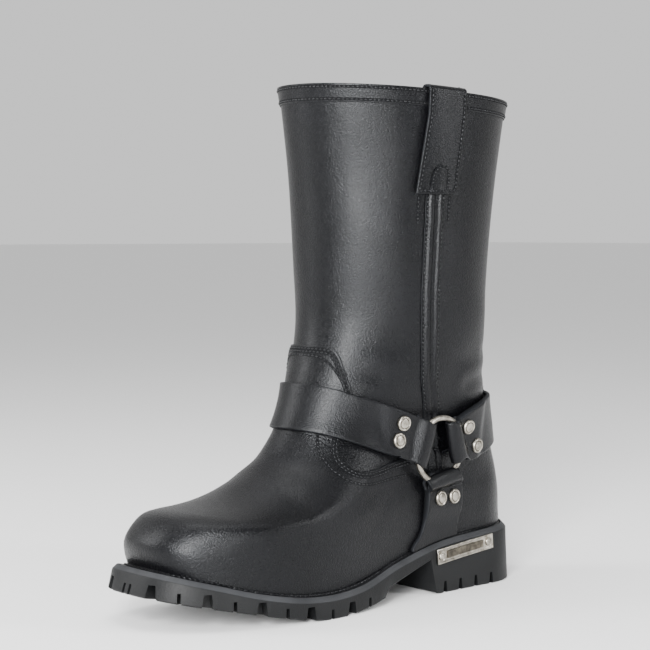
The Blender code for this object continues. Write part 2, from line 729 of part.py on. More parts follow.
def make_strap(name, which, outline, doubled, rows, sides=(-REACH, REACH)):
    """A band cut from a layer of the upper, thicker at its end, with a fold that the ring runs through."""
    body = combine(shell(name, *STRAP, *rows), "INTERSECT", prism(outline, *sides), solver="MANIFOLD")
    under = (STRAP[0] + STRAP[1]) / 2
    end = shell("end", under, STRAP_END[1], *rows)
    ends = [combine(end, "INTERSECT", prism(doubled, *sides), solver="MANIFOLD")]
    crossed = [side for side in SIDES.values() if sides[0] < side * REACH / 2 < sides[1]]
    ends += [fold(which, side) for side in crossed]
    combine(body, "UNION", *ends, solver="MANIFOLD")
    ways = [wire_ring("cutter", side, WIRE / 2 + GAP) for side in crossed]
    return combine(body, "DIFFERENCE", *ways, solver="MANIFOLD")


def doubled_end(top, bottom, reach):
    """The band's outline from the ring out to reach, a little inside the band's own edges."""
    xs = np.linspace(top[0][0], reach, DOUBLE_POINTS)
    over = [(x, float(linear(sorted(top), x)) - END_INSET) for x in xs]
    under = [(x, float(linear(sorted(bottom), x)) + END_INSET) for x in xs]
    return over + under[::-1]


def make_straps():
    """Ankle straps before and behind the rings, and an arch strap under the ring on each side."""
    made = []
    for which, top, bottom, reach in (("front", FRONT_STRAP_TOP, FRONT_STRAP_BOTTOM, FRONT_DOUBLE),
                                      ("back", BACK_STRAP_TOP, BACK_STRAP_BOTTOM, BACK_DOUBLE)):
        end = doubled_end(top, bottom, reach)
        made.append(make_strap("strap_" + which, which, top + bottom[::-1], end, ("vamp low", "shaft low")))
    on_sole = [(x, float(sole_top(x)) + ARCH_FOOT_LIFT) for x in np.linspace(*ARCH_FOOT, 6)]
    arch = ARCH_STRAP_FRONT + on_sole + ARCH_STRAP_BACK[::-1]
    for side_name, side in SIDES.items():
        half = sorted((0.0, side * REACH))
        made.append(make_strap("strap_arch_" + side_name, "arch", arch, ARCH_DOUBLE, ("feather", "instep"), half))
    return made


def make_rivet(name, x, z, side):
    """Domed cap on the doubled end of a strap."""
    point, normal = surface_frame(x, z, side)
    built = bmesh.new()
    profile = [built.verts.new(Vector((r, 0.0, h)) * MM) for r, h in RIVET_PROFILE]
    for a, b in zip(profile, profile[1:]):
        built.edges.new((a, b))
    bmesh.ops.spin(built, geom=built.verts[:] + built.edges[:], axis=(0, 0, 1), cent=(0, 0, 0),
                   angle=2 * math.pi, steps=RIVET_STEPS, use_merge=True)
    bmesh.ops.remove_doubles(built, verts=built.verts, dist=0.01 * MM)
    made = object_from_bmesh(name, built)
    place(made, point + normal * (STRAP_END[1] + RIVET_SEAT), (1, 0, 0), normal)
    return made


def wall_place(x, z, proud):
    """A place on the outer wall of the heel, proud of it."""
    return np.array([x, foot("axis", x) + sole_half(x) + proud, z], float)


def plate_place(along, up, proud):
    """A place on the tilted plate: along it towards the toe and up from its middle."""
    cos, sin = math.cos(PLATE_TILT), math.sin(PLATE_TILT)
    return wall_place(PLATE_CENTRE[0] + along * cos + up * sin, PLATE_CENTRE[1] - along * sin + up * cos, proud)


def make_heel_plate():
    """Pressed metal plate that follows the heel's outer wall."""
    length, height = PLATE_SIZE
    faces = (PLATE_GAP, PLATE_GAP + PLATE_THICK)
    corners = [(-height / 2, faces[0]), (height / 2, faces[0]), (height / 2, faces[1]), (-height / 2, faces[1])]
    stations = [[plate_place(along, *corner) for corner in corners]
                for along in np.linspace(-length / 2, length / 2, PLATE_STATIONS)]
    return loft("heel_plate", stations, "flat")


def make_plate_pin(name, along):
    """Round head on the plate, near one of its ends."""
    ahead = plate_place(along + 1, 0.0, 0.0) - plate_place(along - 1, 0.0, 0.0)
    normal = Vector((-ahead[1], ahead[0], 0.0)).normalized()
    built = bmesh.new()
    bmesh.ops.create_cone(built, cap_ends=True, segments=PIN_STEPS, radius1=PIN_RADIUS * MM,
                          radius2=(PIN_RADIUS - PIN_TAPER) * MM, depth=PIN_PROUD * MM)
    pin = object_from_bmesh(name, built)
    place(pin, plate_place(along, 0.0, PLATE_GAP + PLATE_THICK + GAP + PIN_PROUD / 2), ahead, normal)
    return pin


def stand_at_origin(objects):
    """Moves every mesh so that the origin is on the floor under the middle of the whole box."""
    points = np.array([tuple(v.co) for made in objects for v in made.data.vertices])
    low, high = points.min(axis=0), points.max(axis=0)
    middle = (low + high) / 2
    shift = Vector((-middle[0], -middle[1], -low[2]))
    for made in objects:
        made.data.transform(Matrix.Translation(shift))
    print("moved by", [round(d / MM, 2) for d in shift], "mm")


def dress(objects, look):
    for made in objects:
        made.data.materials.clear()
        made.data.materials.append(look)
        made.data.shade_smooth()
        made.data.set_sharp_from_angle(angle=SHARP_ANGLE)


def main():
    rubber = finish("black_rubber", (0.012, 0.013, 0.015), 0.6, 0.0)
    leather = finish("black_grained_leather", (0.016, 0.017, 0.020), 0.42, 0.0)
    strap_leather = finish("black_strap_leather", (0.018, 0.020, 0.025), 0.45, 0.0)
    lining = finish("insole_fabric", (0.05, 0.05, 0.052), 0.9, 0.0)
    nickel = finish("antique_nickel", (0.62, 0.60, 0.57), 0.32, 1.0)
    soles = [make_outsole()]
    leathers = [make_welt(), make_upper(), make_vamp(), make_counter(), make_collar_band()]
    insoles = [make_insole()]
    straps = make_straps()
    pin_place = PLATE_SIZE[0] / 2 - PIN_INSET
    metal = [make_heel_plate(), make_plate_pin("plate_pin_rear", -pin_place)]
    metal.append(make_plate_pin("plate_pin_front", pin_place))
    for side_name, side in SIDES.items():
        leathers.append(make_side_seam(side_name))
        straps.append(make_pull_strap(side_name))
        metal.append(wire_ring("ring_" + side_name, side, WIRE / 2))
        for which, spots in RIVETS.items():
            for i, (x, z) in enumerate(spots, 1):
                metal.append(make_rivet(f"rivet_{which}_{side_name}_{i}", x, z, side))
    for objects, look in ((soles, rubber), (leathers, leather), (insoles, lining), (straps, strap_leather),
                          (metal, nickel)):
        dress(objects, look)
    stand_at_origin(soles + leathers + insoles + straps + metal)


clear_scene()
PARTS = bpy.data.collections.new("harness_boot")
bpy.context.scene.collection.children.link(PARTS)
SEATS = {side: ring_seat(side) for side in SIDES.values()}
main()
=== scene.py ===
# %% [markdown]
# A left harness boot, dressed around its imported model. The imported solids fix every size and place. This
# notebook gives them their looks: a smooth last, leather that is cut and turned over it, thread, folded
# straps, metal, and a moulded sole. Lengths below are millimetres of the boot itself: x from the sole's
# back edge towards the toe, y from the sole's middle line towards the outer side, and z up from the
# floor.

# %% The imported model
import math

import bmesh
import bpy
import numpy as np
from mathutils import Matrix, Vector
from mathutils.bvhtree import BVHTree
from mathutils.kdtree import KDTree


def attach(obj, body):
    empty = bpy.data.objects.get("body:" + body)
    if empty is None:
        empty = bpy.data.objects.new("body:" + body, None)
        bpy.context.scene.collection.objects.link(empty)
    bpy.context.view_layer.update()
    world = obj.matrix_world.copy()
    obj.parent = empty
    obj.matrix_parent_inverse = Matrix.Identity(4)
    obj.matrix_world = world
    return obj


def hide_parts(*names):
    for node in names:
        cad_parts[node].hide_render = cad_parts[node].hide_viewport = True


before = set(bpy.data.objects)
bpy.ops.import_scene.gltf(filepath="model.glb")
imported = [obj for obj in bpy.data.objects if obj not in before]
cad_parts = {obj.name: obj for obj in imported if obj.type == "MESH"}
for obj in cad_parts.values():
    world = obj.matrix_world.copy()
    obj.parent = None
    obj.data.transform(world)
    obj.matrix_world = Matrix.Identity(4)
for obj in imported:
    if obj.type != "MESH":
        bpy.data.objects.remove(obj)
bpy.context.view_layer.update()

MM = 0.001
SIDES = {"outer": 1, "inner": -1}
bpy.ops.object.select_all(action="DESELECT")
print("packed nodes:", len(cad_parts))

# %% [markdown]
# The upper is a wall of loops that run around the last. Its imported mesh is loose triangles, so a copy is
# merged and its outer loops are read one after the other from the collar down. Each loop becomes a row of
# a table, and every later panel is cut from the smooth skin through that table. Reading the form from the
# model, and not from new numbers, keeps each panel exactly where its solid is.

# %% Read the loops of the last
RIM_REACH = 14.0


def ordered_ring(members):
    """The members of one loop in the order of the edges that join them."""
    ring = [next(iter(members))]
    while len(ring) < len(members):
        near = [edge.other_vert(ring[-1]) for edge in ring[-1].link_edges]
        ahead = [vert for vert in near if vert in members and vert not in ring[-2:]]
        ring.append(ahead[0])
    return ring


def points_of(ring):
    return np.array([tuple(vert.co) for vert in ring]) / MM


def aligned(ring, above):
    """The ring turned, or run backwards, so that its points lie under those of the loop above."""
    best = None
    for order in (ring, ring[::-1]):
        points = points_of(order)
        for shift in range(len(ring)):
            cost = np.linalg.norm(np.roll(points, -shift, axis=0) - above, axis=1).sum()
            if best is None or cost < best[0]:
                best = (cost, order[shift:] + order[:shift])
    return best[1]


def outer_loops(node):
    """Loops of a hollow wall's outer face from its top edge down to its lowest edge."""
    wall = bmesh.new()
    wall.from_mesh(node.data)
    bmesh.ops.remove_doubles(wall, verts=wall.verts, dist=0.01 * MM)
    wall.normal_update()
    top = max(vert.co.z for vert in wall.verts)
    high = [face for face in wall.faces if face.calc_center_median().z > top - RIM_REACH * MM]
    rim = {face for face in high if face.normal.z > 0.7}
    rim_verts = {vert for face in rim for vert in face.verts}
    start = max(rim_verts, key=lambda vert: vert.co.y)
    edges = {edge for face in rim for edge in face.edges}
    border = {edge for edge in edges if sum(face in rim for face in edge.link_faces) == 1}
    ring = [start]
    while True:
        near = [edge.other_vert(ring[-1]) for edge in ring[-1].link_edges if edge in border]
        ahead = [vert for vert in near if vert not in ring]
        if not ahead:
            break
        ring.append(ahead[0])
    loops = [points_of(ring)]
    seen = set(rim_verts)
    while True:
        below = {edge.other_vert(vert) for vert in ring for edge in vert.link_edges} - seen
        ring = aligned(ordered_ring(below), loops[-1])
        seen |= below
        points = points_of(ring)
        if np.abs(points[:, 2] - loops[-1][:, 2]).max() < 0.05:
            break
        loops.append(points)
    wall.free()
    return np.array(loops[::-1])

# %% [markdown]
# The table starts at the sole. Its first column is turned to the back of the boot, and the columns run
# around the inner side first. So with 32 columns, column 16 is the front and column 24 the middle of
# the outer side.

# %% The table of the last
# SKIRT is the height up the wall at which the feather line lies. The solid's collar stands a little too high
# and too wide, so the leather's edge is lowered, and its flare at the front is drawn in.
SKIRT = 2.55
COLLAR_BACK = 4.5
COLLAR_DROP = 1.6
FLARE_FROM = 300.0
FLARE_IN = 4.2
LAST = outer_loops(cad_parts["upper"])
back = int(np.argmin(LAST[-1][:, 0]))
LAST = np.roll(LAST, -back, axis=1)
if LAST[-1][8, 1] > LAST[-1][24, 1]:
    LAST = np.roll(LAST[:, ::-1], 1, axis=1)
SHIFT = np.array([LAST[-1][0, 0] - COLLAR_BACK, LAST[-1][0, 1], 0.0])
LAST = LAST - SHIFT
LAST[-1, :, 2] -= COLLAR_DROP
for row in LAST:
    rise = np.clip((row[:, 2] - FLARE_FROM) / 45, 0, 1) ** 1.5
    row[:, 0] -= FLARE_IN * rise * np.clip((row[:, 0] - 100) / 50, 0, 1)
AROUND = LAST.shape[1]
FRONT = AROUND // 2
print("loops and columns of the last:", LAST.shape[:2], "boot's place:", SHIFT.round(2))

# %% [markdown]
# A surface through a table of points needs a rule between them. Up the leg the loops lie at uneven
# heights, so a cubic through uneven knots is used. Around the loop the columns are even and closed, so a
# plain Catmull-Rom curve serves. skin gives a point for any height along the wall and any column.

# %% The smooth skin of the last
HEIGHTS = np.concatenate([[0], np.cumsum(np.linalg.norm(np.diff(LAST, axis=0), axis=2).mean(axis=1))])
SLOPES = np.gradient(LAST, HEIGHTS, axis=0)
TOP = float(HEIGHTS[-1])


def skin(h, c):
    """Points of the last's outer face, h in millimetres up the wall and c in columns around it."""
    h = np.clip(np.asarray(h, float), 0, TOP)
    c = np.asarray(c, float)
    i = np.clip(np.searchsorted(HEIGHTS, h, side="right") - 1, 0, len(HEIGHTS) - 2)
    step = (HEIGHTS[i + 1] - HEIGHTS[i])[:, None, None]
    t = (h[:, None, None] - HEIGHTS[i][:, None, None]) / step
    j = np.floor(c).astype(int)
    f = c - j
    near = (j[:, None] + np.array([-1, 0, 1, 2])) % AROUND
    row = i[:, None]
    points = (2 * t**3 - 3 * t**2 + 1) * LAST[row, near] + (3 * t**2 - 2 * t**3) * LAST[row + 1, near]
    leaving, arriving = t**3 - 2 * t**2 + t, t**3 - t**2
    points = points + step * (leaving * SLOPES[row, near] + arriving * SLOPES[row + 1, near])
    share = [-f + 2 * f**2 - f**3, 2 - 5 * f**2 + 3 * f**3, f + 4 * f**2 - 3 * f**3, f**3 - f**2]
    return np.einsum("nk,nkd->nd", np.stack(share, 1) / 2, points)


def unit(vectors):
    return vectors / np.maximum(np.linalg.norm(vectors, axis=-1, keepdims=True), 1e-12)


def skin_normal(h, c):
    h = np.clip(np.asarray(h, float), 0.6, TOP - 0.6)
    c = np.asarray(c, float)
    across = skin(h, c + 0.05) - skin(h, c - 0.05)
    up = skin(h + 0.5, c) - skin(h - 0.5, c)
    return unit(np.cross(across, up))


print("the wall is", round(TOP, 1), "mm high along its surface")

# %% [markdown]
# Patterns for leather are drawn flat, from the side. So the outlines below are x and z of the side view,
# and each has to be found again on the curved skin. A lookup of many known places gives the nearest one,
# and two Newton steps bring it to within a hundredth of a millimetre.

# %% Find a place on the skin that is seen from the side
def side_tree(side):
    """Lookup of heights and columns by x and z for one side of the boot, 1 outer and -1 inner."""
    hs = np.linspace(0, TOP, 360)
    cs = np.linspace(FRONT, AROUND, 260) if side > 0 else np.linspace(0, FRONT, 260)
    hh, cc = [a.ravel() for a in np.meshgrid(hs, cs, indexing="ij")]
    points = skin(hh, cc)
    tree = KDTree(len(points))
    for i, (x, _, z) in enumerate(points):
        tree.insert((x, 0.0, z), i)
    tree.balance()
    return tree, hh, cc


TREES = {side: side_tree(side) for side in SIDES.values()}
print("places looked up on each side:", len(TREES[1][1]))


def locate(points, side):
    """Heights and columns of places given as x and z."""
    tree, hh, cc = TREES[side]
    found = [tree.find((x, 0.0, z))[1] for x, z in points]
    h, c = hh[found], cc[found]
    target = np.array(points, float)
    for _ in range(2):
        here = skin(h, c)[:, [0, 2]]
        by_h = (skin(h + 0.4, c)[:, [0, 2]] - here) / 0.4
        by_c = (skin(h, c + 0.02)[:, [0, 2]] - here) / 0.02
        miss = target - here
        area = by_h[:, 0] * by_c[:, 1] - by_h[:, 1] * by_c[:, 0]
        area = np.where(np.abs(area) < 0.5, np.inf, area)
        h = h + np.clip((miss[:, 0] * by_c[:, 1] - miss[:, 1] * by_c[:, 0]) / area, -1, 1)
        c = c + np.clip((by_h[:, 0] * miss[:, 1] - by_h[:, 1] * miss[:, 0]) / area, -0.1, 0.1)
    return h, c

# %% [markdown]
# Leather that was lasted and worn for a moment is never a perfect solid of revolution. It sinks a little
# where the ankle bends, swells over the toe puff, and ripples softly down the shaft. Such a form could be
# sculpted. Here each hollow and ridge is one row of a table, with its place, reach and depth in
# millimetres, and the same table bends every layer, so that overlays stay seated on what is under them.

# %% Soft hollows and ridges of the leather
# Each row: x, side, z, reach along x, reach along z, depth.
HOLLOWS = [
    (140.0, 1, 205.0, 26.0, 40.0, 1.0),
    (60.0, 1, 250.0, 22.0, 46.0, 0.9),
    (150.0, 1, 290.0, 20.0, 26.0, 0.8),
    (126.0, 1, 172.0, 16.0, 9.0, 0.9),
    (64.0, 1, 160.0, 18.0, 8.0, 0.9),
    (45.0, 1, 188.0, 14.0, 12.0, -0.7),
    (130.0, 1, 250.0, 18.0, 12.0, -0.5),
    (139.0, -1, 215.0, 24.0, 36.0, 1.0),
    (62.0, -1, 255.0, 22.0, 40.0, 0.9),
    (120.0, -1, 168.0, 18.0, 9.0, 1.0),
    (58.0, -1, 170.0, 16.0, 9.0, 0.9),
    (205.0, 1, 62.0, 28.0, 15.0, 0.6),
    (214.0, -1, 58.0, 28.0, 14.0, 0.6),
    (148.0, 1, 66.0, 22.0, 12.0, 0.7),
    (150.0, -1, 66.0, 22.0, 12.0, 0.8),
    (40.0, 1, 72.0, 16.0, 12.0, 0.5),
    (40.0, -1, 74.0, 16.0, 12.0, 0.5),
]
# Each row: points x, y, z along it, half width, depth.
CREASES = [
    ([(196, -30, 88), (199, -10, 99), (199, 8, 99), (197, 26, 92), (192, 38, 80)], 6.0, 0.3),
    ([(214, -32, 78), (216, -12, 89), (216, 8, 90), (213, 28, 82), (206, 40, 68)], 7.0, 0.25),
    ([(172, -22, 158), (175, -4, 160), (171, 16, 160), (160, 28, 157), (140, 38, 152)], 4.5, 0.6),
    ([(26, -22, 150), (22, 0, 152), (27, 22, 150), (44, 38, 146), (62, 44, 142)], 4.5, 0.8),
    ([(24, -24, 168), (22, 0, 170), (26, 22, 168), (40, 36, 164)], 4.5, 0.5),
    ([(26, -22, 150), (44, -38, 146), (62, -46, 142)], 4.5, 0.7),
]


print("hollows:", len(HOLLOWS), "and creases:", len(CREASES))

# %% [markdown]
# Two small tools serve from here on: a soft ramp between two values, and a smooth line through a few
# points.

# %% Ramps and lines
def ramp(value, start, end):
    share = np.clip((value - start) / (end - start), 0, 1)
    return share * share * (3 - 2 * share)


def along_line(points, count):
    """A smooth line through a few points."""
    points = np.array(points, float)
    ends = np.vstack([2 * points[0] - points[1], points, 2 * points[-1] - points[-2]])
    t = np.linspace(0, len(points) - 1, count)
    i = np.clip(np.floor(t).astype(int), 0, len(points) - 2)
    f = (t - i)[:, None]
    a, b, c, d = ends[i], ends[i + 1], ends[i + 2], ends[i + 3]
    return b + 0.5 * f * (c - a + f * (2 * a - 5 * b + 4 * c - d + f * (3 * (b - c) + d - a)))


print("middle of a first crease:", along_line(CREASES[0][0], 3)[1].round(1))

# %% [markdown]
# A hollow counts only on its own side of the boot. A crease is a trough with a low ridge on each side,
# as skin makes when it folds, and its depth goes by the distance to its line.

# %% Relief of the leather
# The leather swells a little where the pull strap's hidden end is stitched under it.
PULL_END_X = 105.5
PULL_END_HALF = 13.5
PULL_END_MIDDLE = 263.0
PULL_END_REACH = 13.0
PULL_END_RISE = 0.6


def relief(points):
    """How far the leather stands out, in millimetres, at points of the skin."""
    height = np.zeros(len(points))
    for x, side, z, long_x, long_z, depth in HOLLOWS:
        away = ((points[:, 0] - x) / long_x) ** 2 + ((points[:, 2] - z) / long_z) ** 2
        facing = np.clip(points[:, 1] * side / 22.0, 0, 1)
        height -= depth * np.exp(-away) * facing
    for path, half_width, depth in CREASES:
        line = along_line(path, 30)
        gap = np.full(len(points), 1e9)
        for start in range(0, len(points), 20000):
            some = points[start:start + 20000]
            gap[start:start + 20000] = np.linalg.norm(some[:, None] - line[None], axis=2).min(axis=1)
        trough = np.exp(-(gap / half_width) ** 2)
        ridge = np.exp(-((gap - 2.0 * half_width) / (1.2 * half_width)) ** 2)
        height -= depth * (trough - 0.35 * ridge)
    beside = np.abs(points[:, 0] - PULL_END_X) / PULL_END_HALF
    above = (points[:, 2] - PULL_END_MIDDLE) / PULL_END_REACH
    within = np.exp(-beside**8) * np.exp(-above**8)
    return height + PULL_END_RISE * within * (np.abs(points[:, 1]) > 20)


def leather(h, c):
    """Points and outward directions of the skin with its hollows and ridges."""
    points = skin(h, c)
    normals = skin_normal(h, c)
    return points + relief(points)[:, None] * normals, normals


print("relief half way up the table:", relief(LAST[len(LAST) // 2]).round(2).min(), "mm at its lowest")

# %% [markdown]
# Every leather layer is a slab: a patch of the skin with thickness, and an arris that is slightly rounded
# by the knife and by wear. Solidify could do it, but the cut wall needs its own raw colour, so slab gives
# faces, wall and back their own material slots.

# %% A slab of leather
def mesh_object(name, points, faces, slots=None):
    """A shaded mesh from points in boot millimetres."""
    mesh = bpy.data.meshes.new(name)
    mesh.from_pydata(((np.asarray(points) + SHIFT) * MM).tolist(), [], faces)
    if slots is not None:
        mesh.polygons.foreach_set("material_index", slots)
    made = bpy.data.objects.new(name, mesh)
    bpy.context.scene.collection.objects.link(made)
    mesh.shade_smooth()
    return made


def border_pairs(faces):
    """Directed edges that only one face has."""
    pairs = {}
    for face in faces:
        for a, b in zip(face, face[1:] + face[:1]):
            if (b, a) in pairs:
                del pairs[(b, a)]
            else:
                pairs[(a, b)] = True
    return list(pairs)


def slab(name, points, normals, faces, low, high, arris=0.35):
    """Closed slab between two offsets of a patch. Gives the object and its border for later stitching."""
    count = len(points)
    high = np.broadcast_to(high, count)
    pairs = np.array(border_pairs(faces))
    run = unit(points[pairs[:, 1]] - points[pairs[:, 0]])
    inward = np.zeros((count, 3))
    np.add.at(inward, pairs[:, 0], np.cross(normals[pairs[:, 0]], run))
    np.add.at(inward, pairs[:, 1], np.cross(normals[pairs[:, 1]], run))
    inward = unit(inward)
    edge = np.unique(pairs)
    place = {int(v): i for i, v in enumerate(edge)}
    crown = points + normals * high[:, None]
    crown[edge] += inward[edge] * arris
    base = points + normals * np.broadcast_to(low, count)[:, None]
    brow = (points + normals * (high - 0.3 * arris)[:, None] + inward * 0.3 * arris)[edge]
    wall = (points + normals * (high - arris)[:, None])[edge]
    every = np.concatenate([crown, base, brow, wall])
    built = [tuple(face) for face in faces]
    slots = [0] * len(built)
    for face in faces:
        built.append(tuple(count + v for v in reversed(face)))
        slots.append(2)
    size = len(edge)
    for a, b in pairs.tolist():
        ia, ib = place[a], place[b]
        brow_a, brow_b = 2 * count + ia, 2 * count + ib
        wall_a, wall_b = 2 * count + size + ia, 2 * count + size + ib
        built += [(b, a, brow_a, brow_b), (brow_b, brow_a, wall_a, wall_b)]
        built.append((wall_b, wall_a, count + a, count + b))
        slots += [0, 1, 1]
    made = mesh_object(name, every, built, slots)
    follow = dict(pairs.tolist())
    loops = []
    while follow:
        first = next(iter(follow))
        loop = [first]
        while follow.get(loop[-1]) is not None:
            loop.append(follow.pop(loop[-1]))
        loops.append(loop)
    return {"object": made, "points": points, "normals": normals, "inward": inward, "loops": loops,
            "high": high, "faces": faces}

# %% [markdown]
# A clicker knife cuts along a drawn line, and does not leave steps. A Boolean on such thin slabs would be
# slow and would leave slivers, so the patch starts as a regular grid instead, and the corners nearest to
# the outline are moved onto it before the slab is made.

# %% Cut a patch of the skin along an outline
def outline(points):
    """Signed distance in millimetres to a closed outline of x and z, below zero inside it."""
    corners = np.array(points, float)
    after = np.roll(corners, -1, axis=0)

    def distance(places):
        flat = places[:, [0, 2]]
        best = np.full(len(flat), 1e9)
        inside = np.zeros(len(flat), bool)
        for a, b in zip(corners, after):
            run = b - a
            share = np.clip(((flat - a) @ run) / max(run @ run, 1e-9), 0, 1)
            best = np.minimum(best, np.linalg.norm(flat - a - share[:, None] * run, axis=1))
            crosses = (a[1] > flat[:, 1]) != (b[1] > flat[:, 1])
            if run[1] != 0:
                inside ^= crosses & (flat[:, 0] < a[0] + (flat[:, 1] - a[1]) * run[0] / run[1])
        return np.where(inside, -best, best)

    return distance

# %% [markdown]
# Trimming looks at the sides of the grid that cross the outline. The nearer end of each is slid onto
# it, and what then lies outside is dropped. A quad with one corner too many becomes a triangle.

# %% Trim to the outline
def trimmed(params, quads, inside):
    """Moves the nearest corners of the patch onto the outline and drops what lies outside it."""
    value = inside(skin(params[:, 0], params[:, 1]))
    quads = np.array(quads)
    sides = np.concatenate([quads[:, [0, 1]], quads[:, [1, 2]], quads[:, [2, 3]], quads[:, [3, 0]]])
    a, b = sides[:, 0], sides[:, 1]
    crossing = value[a] * value[b] < 0
    a, b = a[crossing], b[crossing]
    share = value[a] / (value[a] - value[b])
    moving = np.where(share < 0.5, a, b)
    other = np.where(share < 0.5, b, a)
    amount = np.where(share < 0.5, share, 1 - share)
    order = np.argsort(-amount)
    moving, other, amount = moving[order], other[order], amount[order]
    way = params[other] - params[moving]
    way[:, 1] = (way[:, 1] + AROUND / 2) % AROUND - AROUND / 2
    moved = params.copy()
    moved[moving] = params[moving] + amount[:, None] * way
    value[moving] = 0.0
    kept = []
    for quad in quads.tolist():
        here = [value[v] for v in quad]
        if max(here) <= 0 and min(here) < 0:
            kept.append(quad)
        elif min(here) < 0 < max(here):
            for k in range(4):
                if here[k] < 0 and here[k - 1] == 0 and here[(k + 1) % 4] == 0:
                    kept.append([quad[k - 1], quad[k], quad[(k + 1) % 4]])
    used = np.unique(np.concatenate([np.array(face) for face in kept]))
    new = np.full(len(params), -1)
    new[used] = np.arange(len(used))
    return moved[used], [[int(new[v]) for v in face] for face in kept]

# %% [markdown]
# A panel is a patch with thickness. It says between which heights and columns its grid lies, how fine
# the grid is, what cuts it, and how thick it is over the skin.

# %% Panels
def patch(h_span, c_span, h_step, c_step, inside=None):
    """Heights, columns and faces of a patch. A span of all the columns closes on itself."""
    rows = max(2, round((h_span[1] - h_span[0]) / h_step) + 1)
    columns = max(2, round((c_span[1] - c_span[0]) / c_step) + 1)
    closed = abs(c_span[1] - c_span[0] - AROUND) < 1e-6
    hs = np.linspace(*h_span, rows)
    cs = np.linspace(*c_span, columns)[:-1] if closed else np.linspace(*c_span, columns)
    hh, cc = [a.ravel() for a in np.meshgrid(hs, cs, indexing="ij")]
    params = np.stack([hh, cc], 1)
    n = len(cs)
    quads = []
    for i in range(rows - 1):
        for j in range(n if closed else n - 1):
            k = (j + 1) % n
            quads.append([i * n + j, i * n + k, (i + 1) * n + k, (i + 1) * n + j])
    if inside is None:
        return params, quads
    return trimmed(params, quads, inside)


def panel(name, h_span, c_span, low, high, h_step=2.6, c_step=0.125, inside=None, lift=None, arris=0.35,
          off=None):
    """A leather slab cut from the skin. lift thickens it, and off carries it away from the skin."""
    params, faces = patch(h_span, c_span, h_step, c_step, inside)
    points, normals = leather(params[:, 0], params[:, 1])
    rise = 0.0 if lift is None else lift(points)
    bridge = 0.0 if off is None else off(points)
    made = slab(name, points, normals, faces, low + bridge, high + rise + bridge, arris)
    print(name, "has", len(made["object"].data.polygons), "faces")
    return made

# %% [markdown]
# Colours are written as sRGB hex values, as a colour picker gives them, and one function turns them to
# the linear values that Blender's sockets hold.

# %% Colours and nodes
def colour(value):
    parts = [int(value[i:i + 2], 16) / 255 for i in (0, 2, 4)]
    linear = [p / 12.92 if p <= 0.04045 else ((p + 0.055) / 1.055) ** 2.4 for p in parts]
    return (*linear, 1.0)


def add(material, kind, links=None, **settings):
    """Adds one node. settings are its own properties, and links fills its sockets."""
    made = material.node_tree.nodes.new(kind)
    for key, value in settings.items():
        setattr(made, key, value)
    for key, value in (links or {}).items():
        if isinstance(value, bpy.types.NodeSocket):
            material.node_tree.links.new(value, made.inputs[key])
        else:
            made.inputs[key].default_value = value
    return made


def new_material(name):
    made = bpy.data.materials.new(name)
    made.use_nodes = True
    return made, made.node_tree.nodes["Principled BSDF"]


def finish(material, shader, tone, gloss, raised):
    """Links a colour, a roughness and a relief to the shader."""
    sockets = {"Base Color": tone, "Roughness": gloss.outputs["Result"], "Normal": raised.outputs["Normal"]}
    for name, socket in sockets.items():
        material.node_tree.links.new(socket, shader.inputs[name])

# %% [markdown]
# The shaft and foot are corrected-grain cowhide: a fine pebble pressed into a thin black finish. A real
# pebble is 0.6 to 0.8 mm wide, which is about one picture point, so it is drawn coarser here, at 1 mm.
# Small cells give the pebbles and a soft noise makes them uneven. The eye gets a satin black from it:
# deep where nothing shines, with broad, slightly broken highlights. Pure black would look like a hole, so
# the base is a very dark blue black, and the film of finish reflects less than bare plastic does.

# %% Grained leather
def make_leather(name, dark, light, grain, roughness, coat, bump, level=0.17):
    """Leather, or another fine-grained cover. grain is the pebble's width in millimetres."""
    made, shader = new_material(name)
    place = add(made, "ShaderNodeTexCoord").outputs["Object"]
    pebble = add(made, "ShaderNodeTexVoronoi", {"Vector": place, "Scale": 1 / (grain * MM)},
                 feature="SMOOTH_F1")
    soft = add(made, "ShaderNodeTexNoise", {"Vector": place, "Scale": 1 / (0.9 * grain * MM),
                                            "Detail": 3.0, "Roughness": 0.6})
    broad = add(made, "ShaderNodeTexNoise", {"Vector": place, "Scale": 1 / (38 * MM), "Detail": 3.0})
    sum_of = add(made, "ShaderNodeMath", {0: soft.outputs["Fac"], 1: pebble.outputs["Distance"]},
                 operation="SUBTRACT")
    blend = add(made, "ShaderNodeMapRange", {"Value": broad.outputs["Fac"], "From Min": 0.3, "From Max": 0.7})
    tone = add(made, "ShaderNodeMix", {"Factor": blend.outputs["Result"], "A": colour(dark),
                                       "B": colour(light)}, data_type="RGBA")
    gloss = add(made, "ShaderNodeMapRange", {"Value": soft.outputs["Fac"], "From Min": 0.3, "From Max": 0.7,
                                             "To Min": roughness - 0.05, "To Max": roughness + 0.07})
    raised = add(made, "ShaderNodeBump", {"Height": sum_of.outputs["Value"], "Strength": bump,
                                          "Distance": 0.28 * grain * MM})
    finish(made, shader, tone.outputs["Result"], gloss, raised)
    shader.inputs["Coat Weight"].default_value = coat
    shader.inputs["Coat Roughness"].default_value = 0.28
    shader.inputs["Specular IOR Level"].default_value = level
    shader.inputs["Specular Tint"].default_value = (0.94, 0.97, 1.0, 1.0)
    return made


grained_leather = make_leather("grained_leather", "040405", "070709", 1.0, 0.29, 0.06, 0.9)
strap_leather = make_leather("strap_leather", "050506", "09090b", 0.9, 0.31, 0.06, 0.85)
# The cut wall is dyed but has no finish on it: matt, rough and a shade lighter, so each edge can be seen.
raw_edge = make_leather("raw_cut_edge", "111214", "1a1b1e", 0.7, 0.6, 0.0, 0.8)
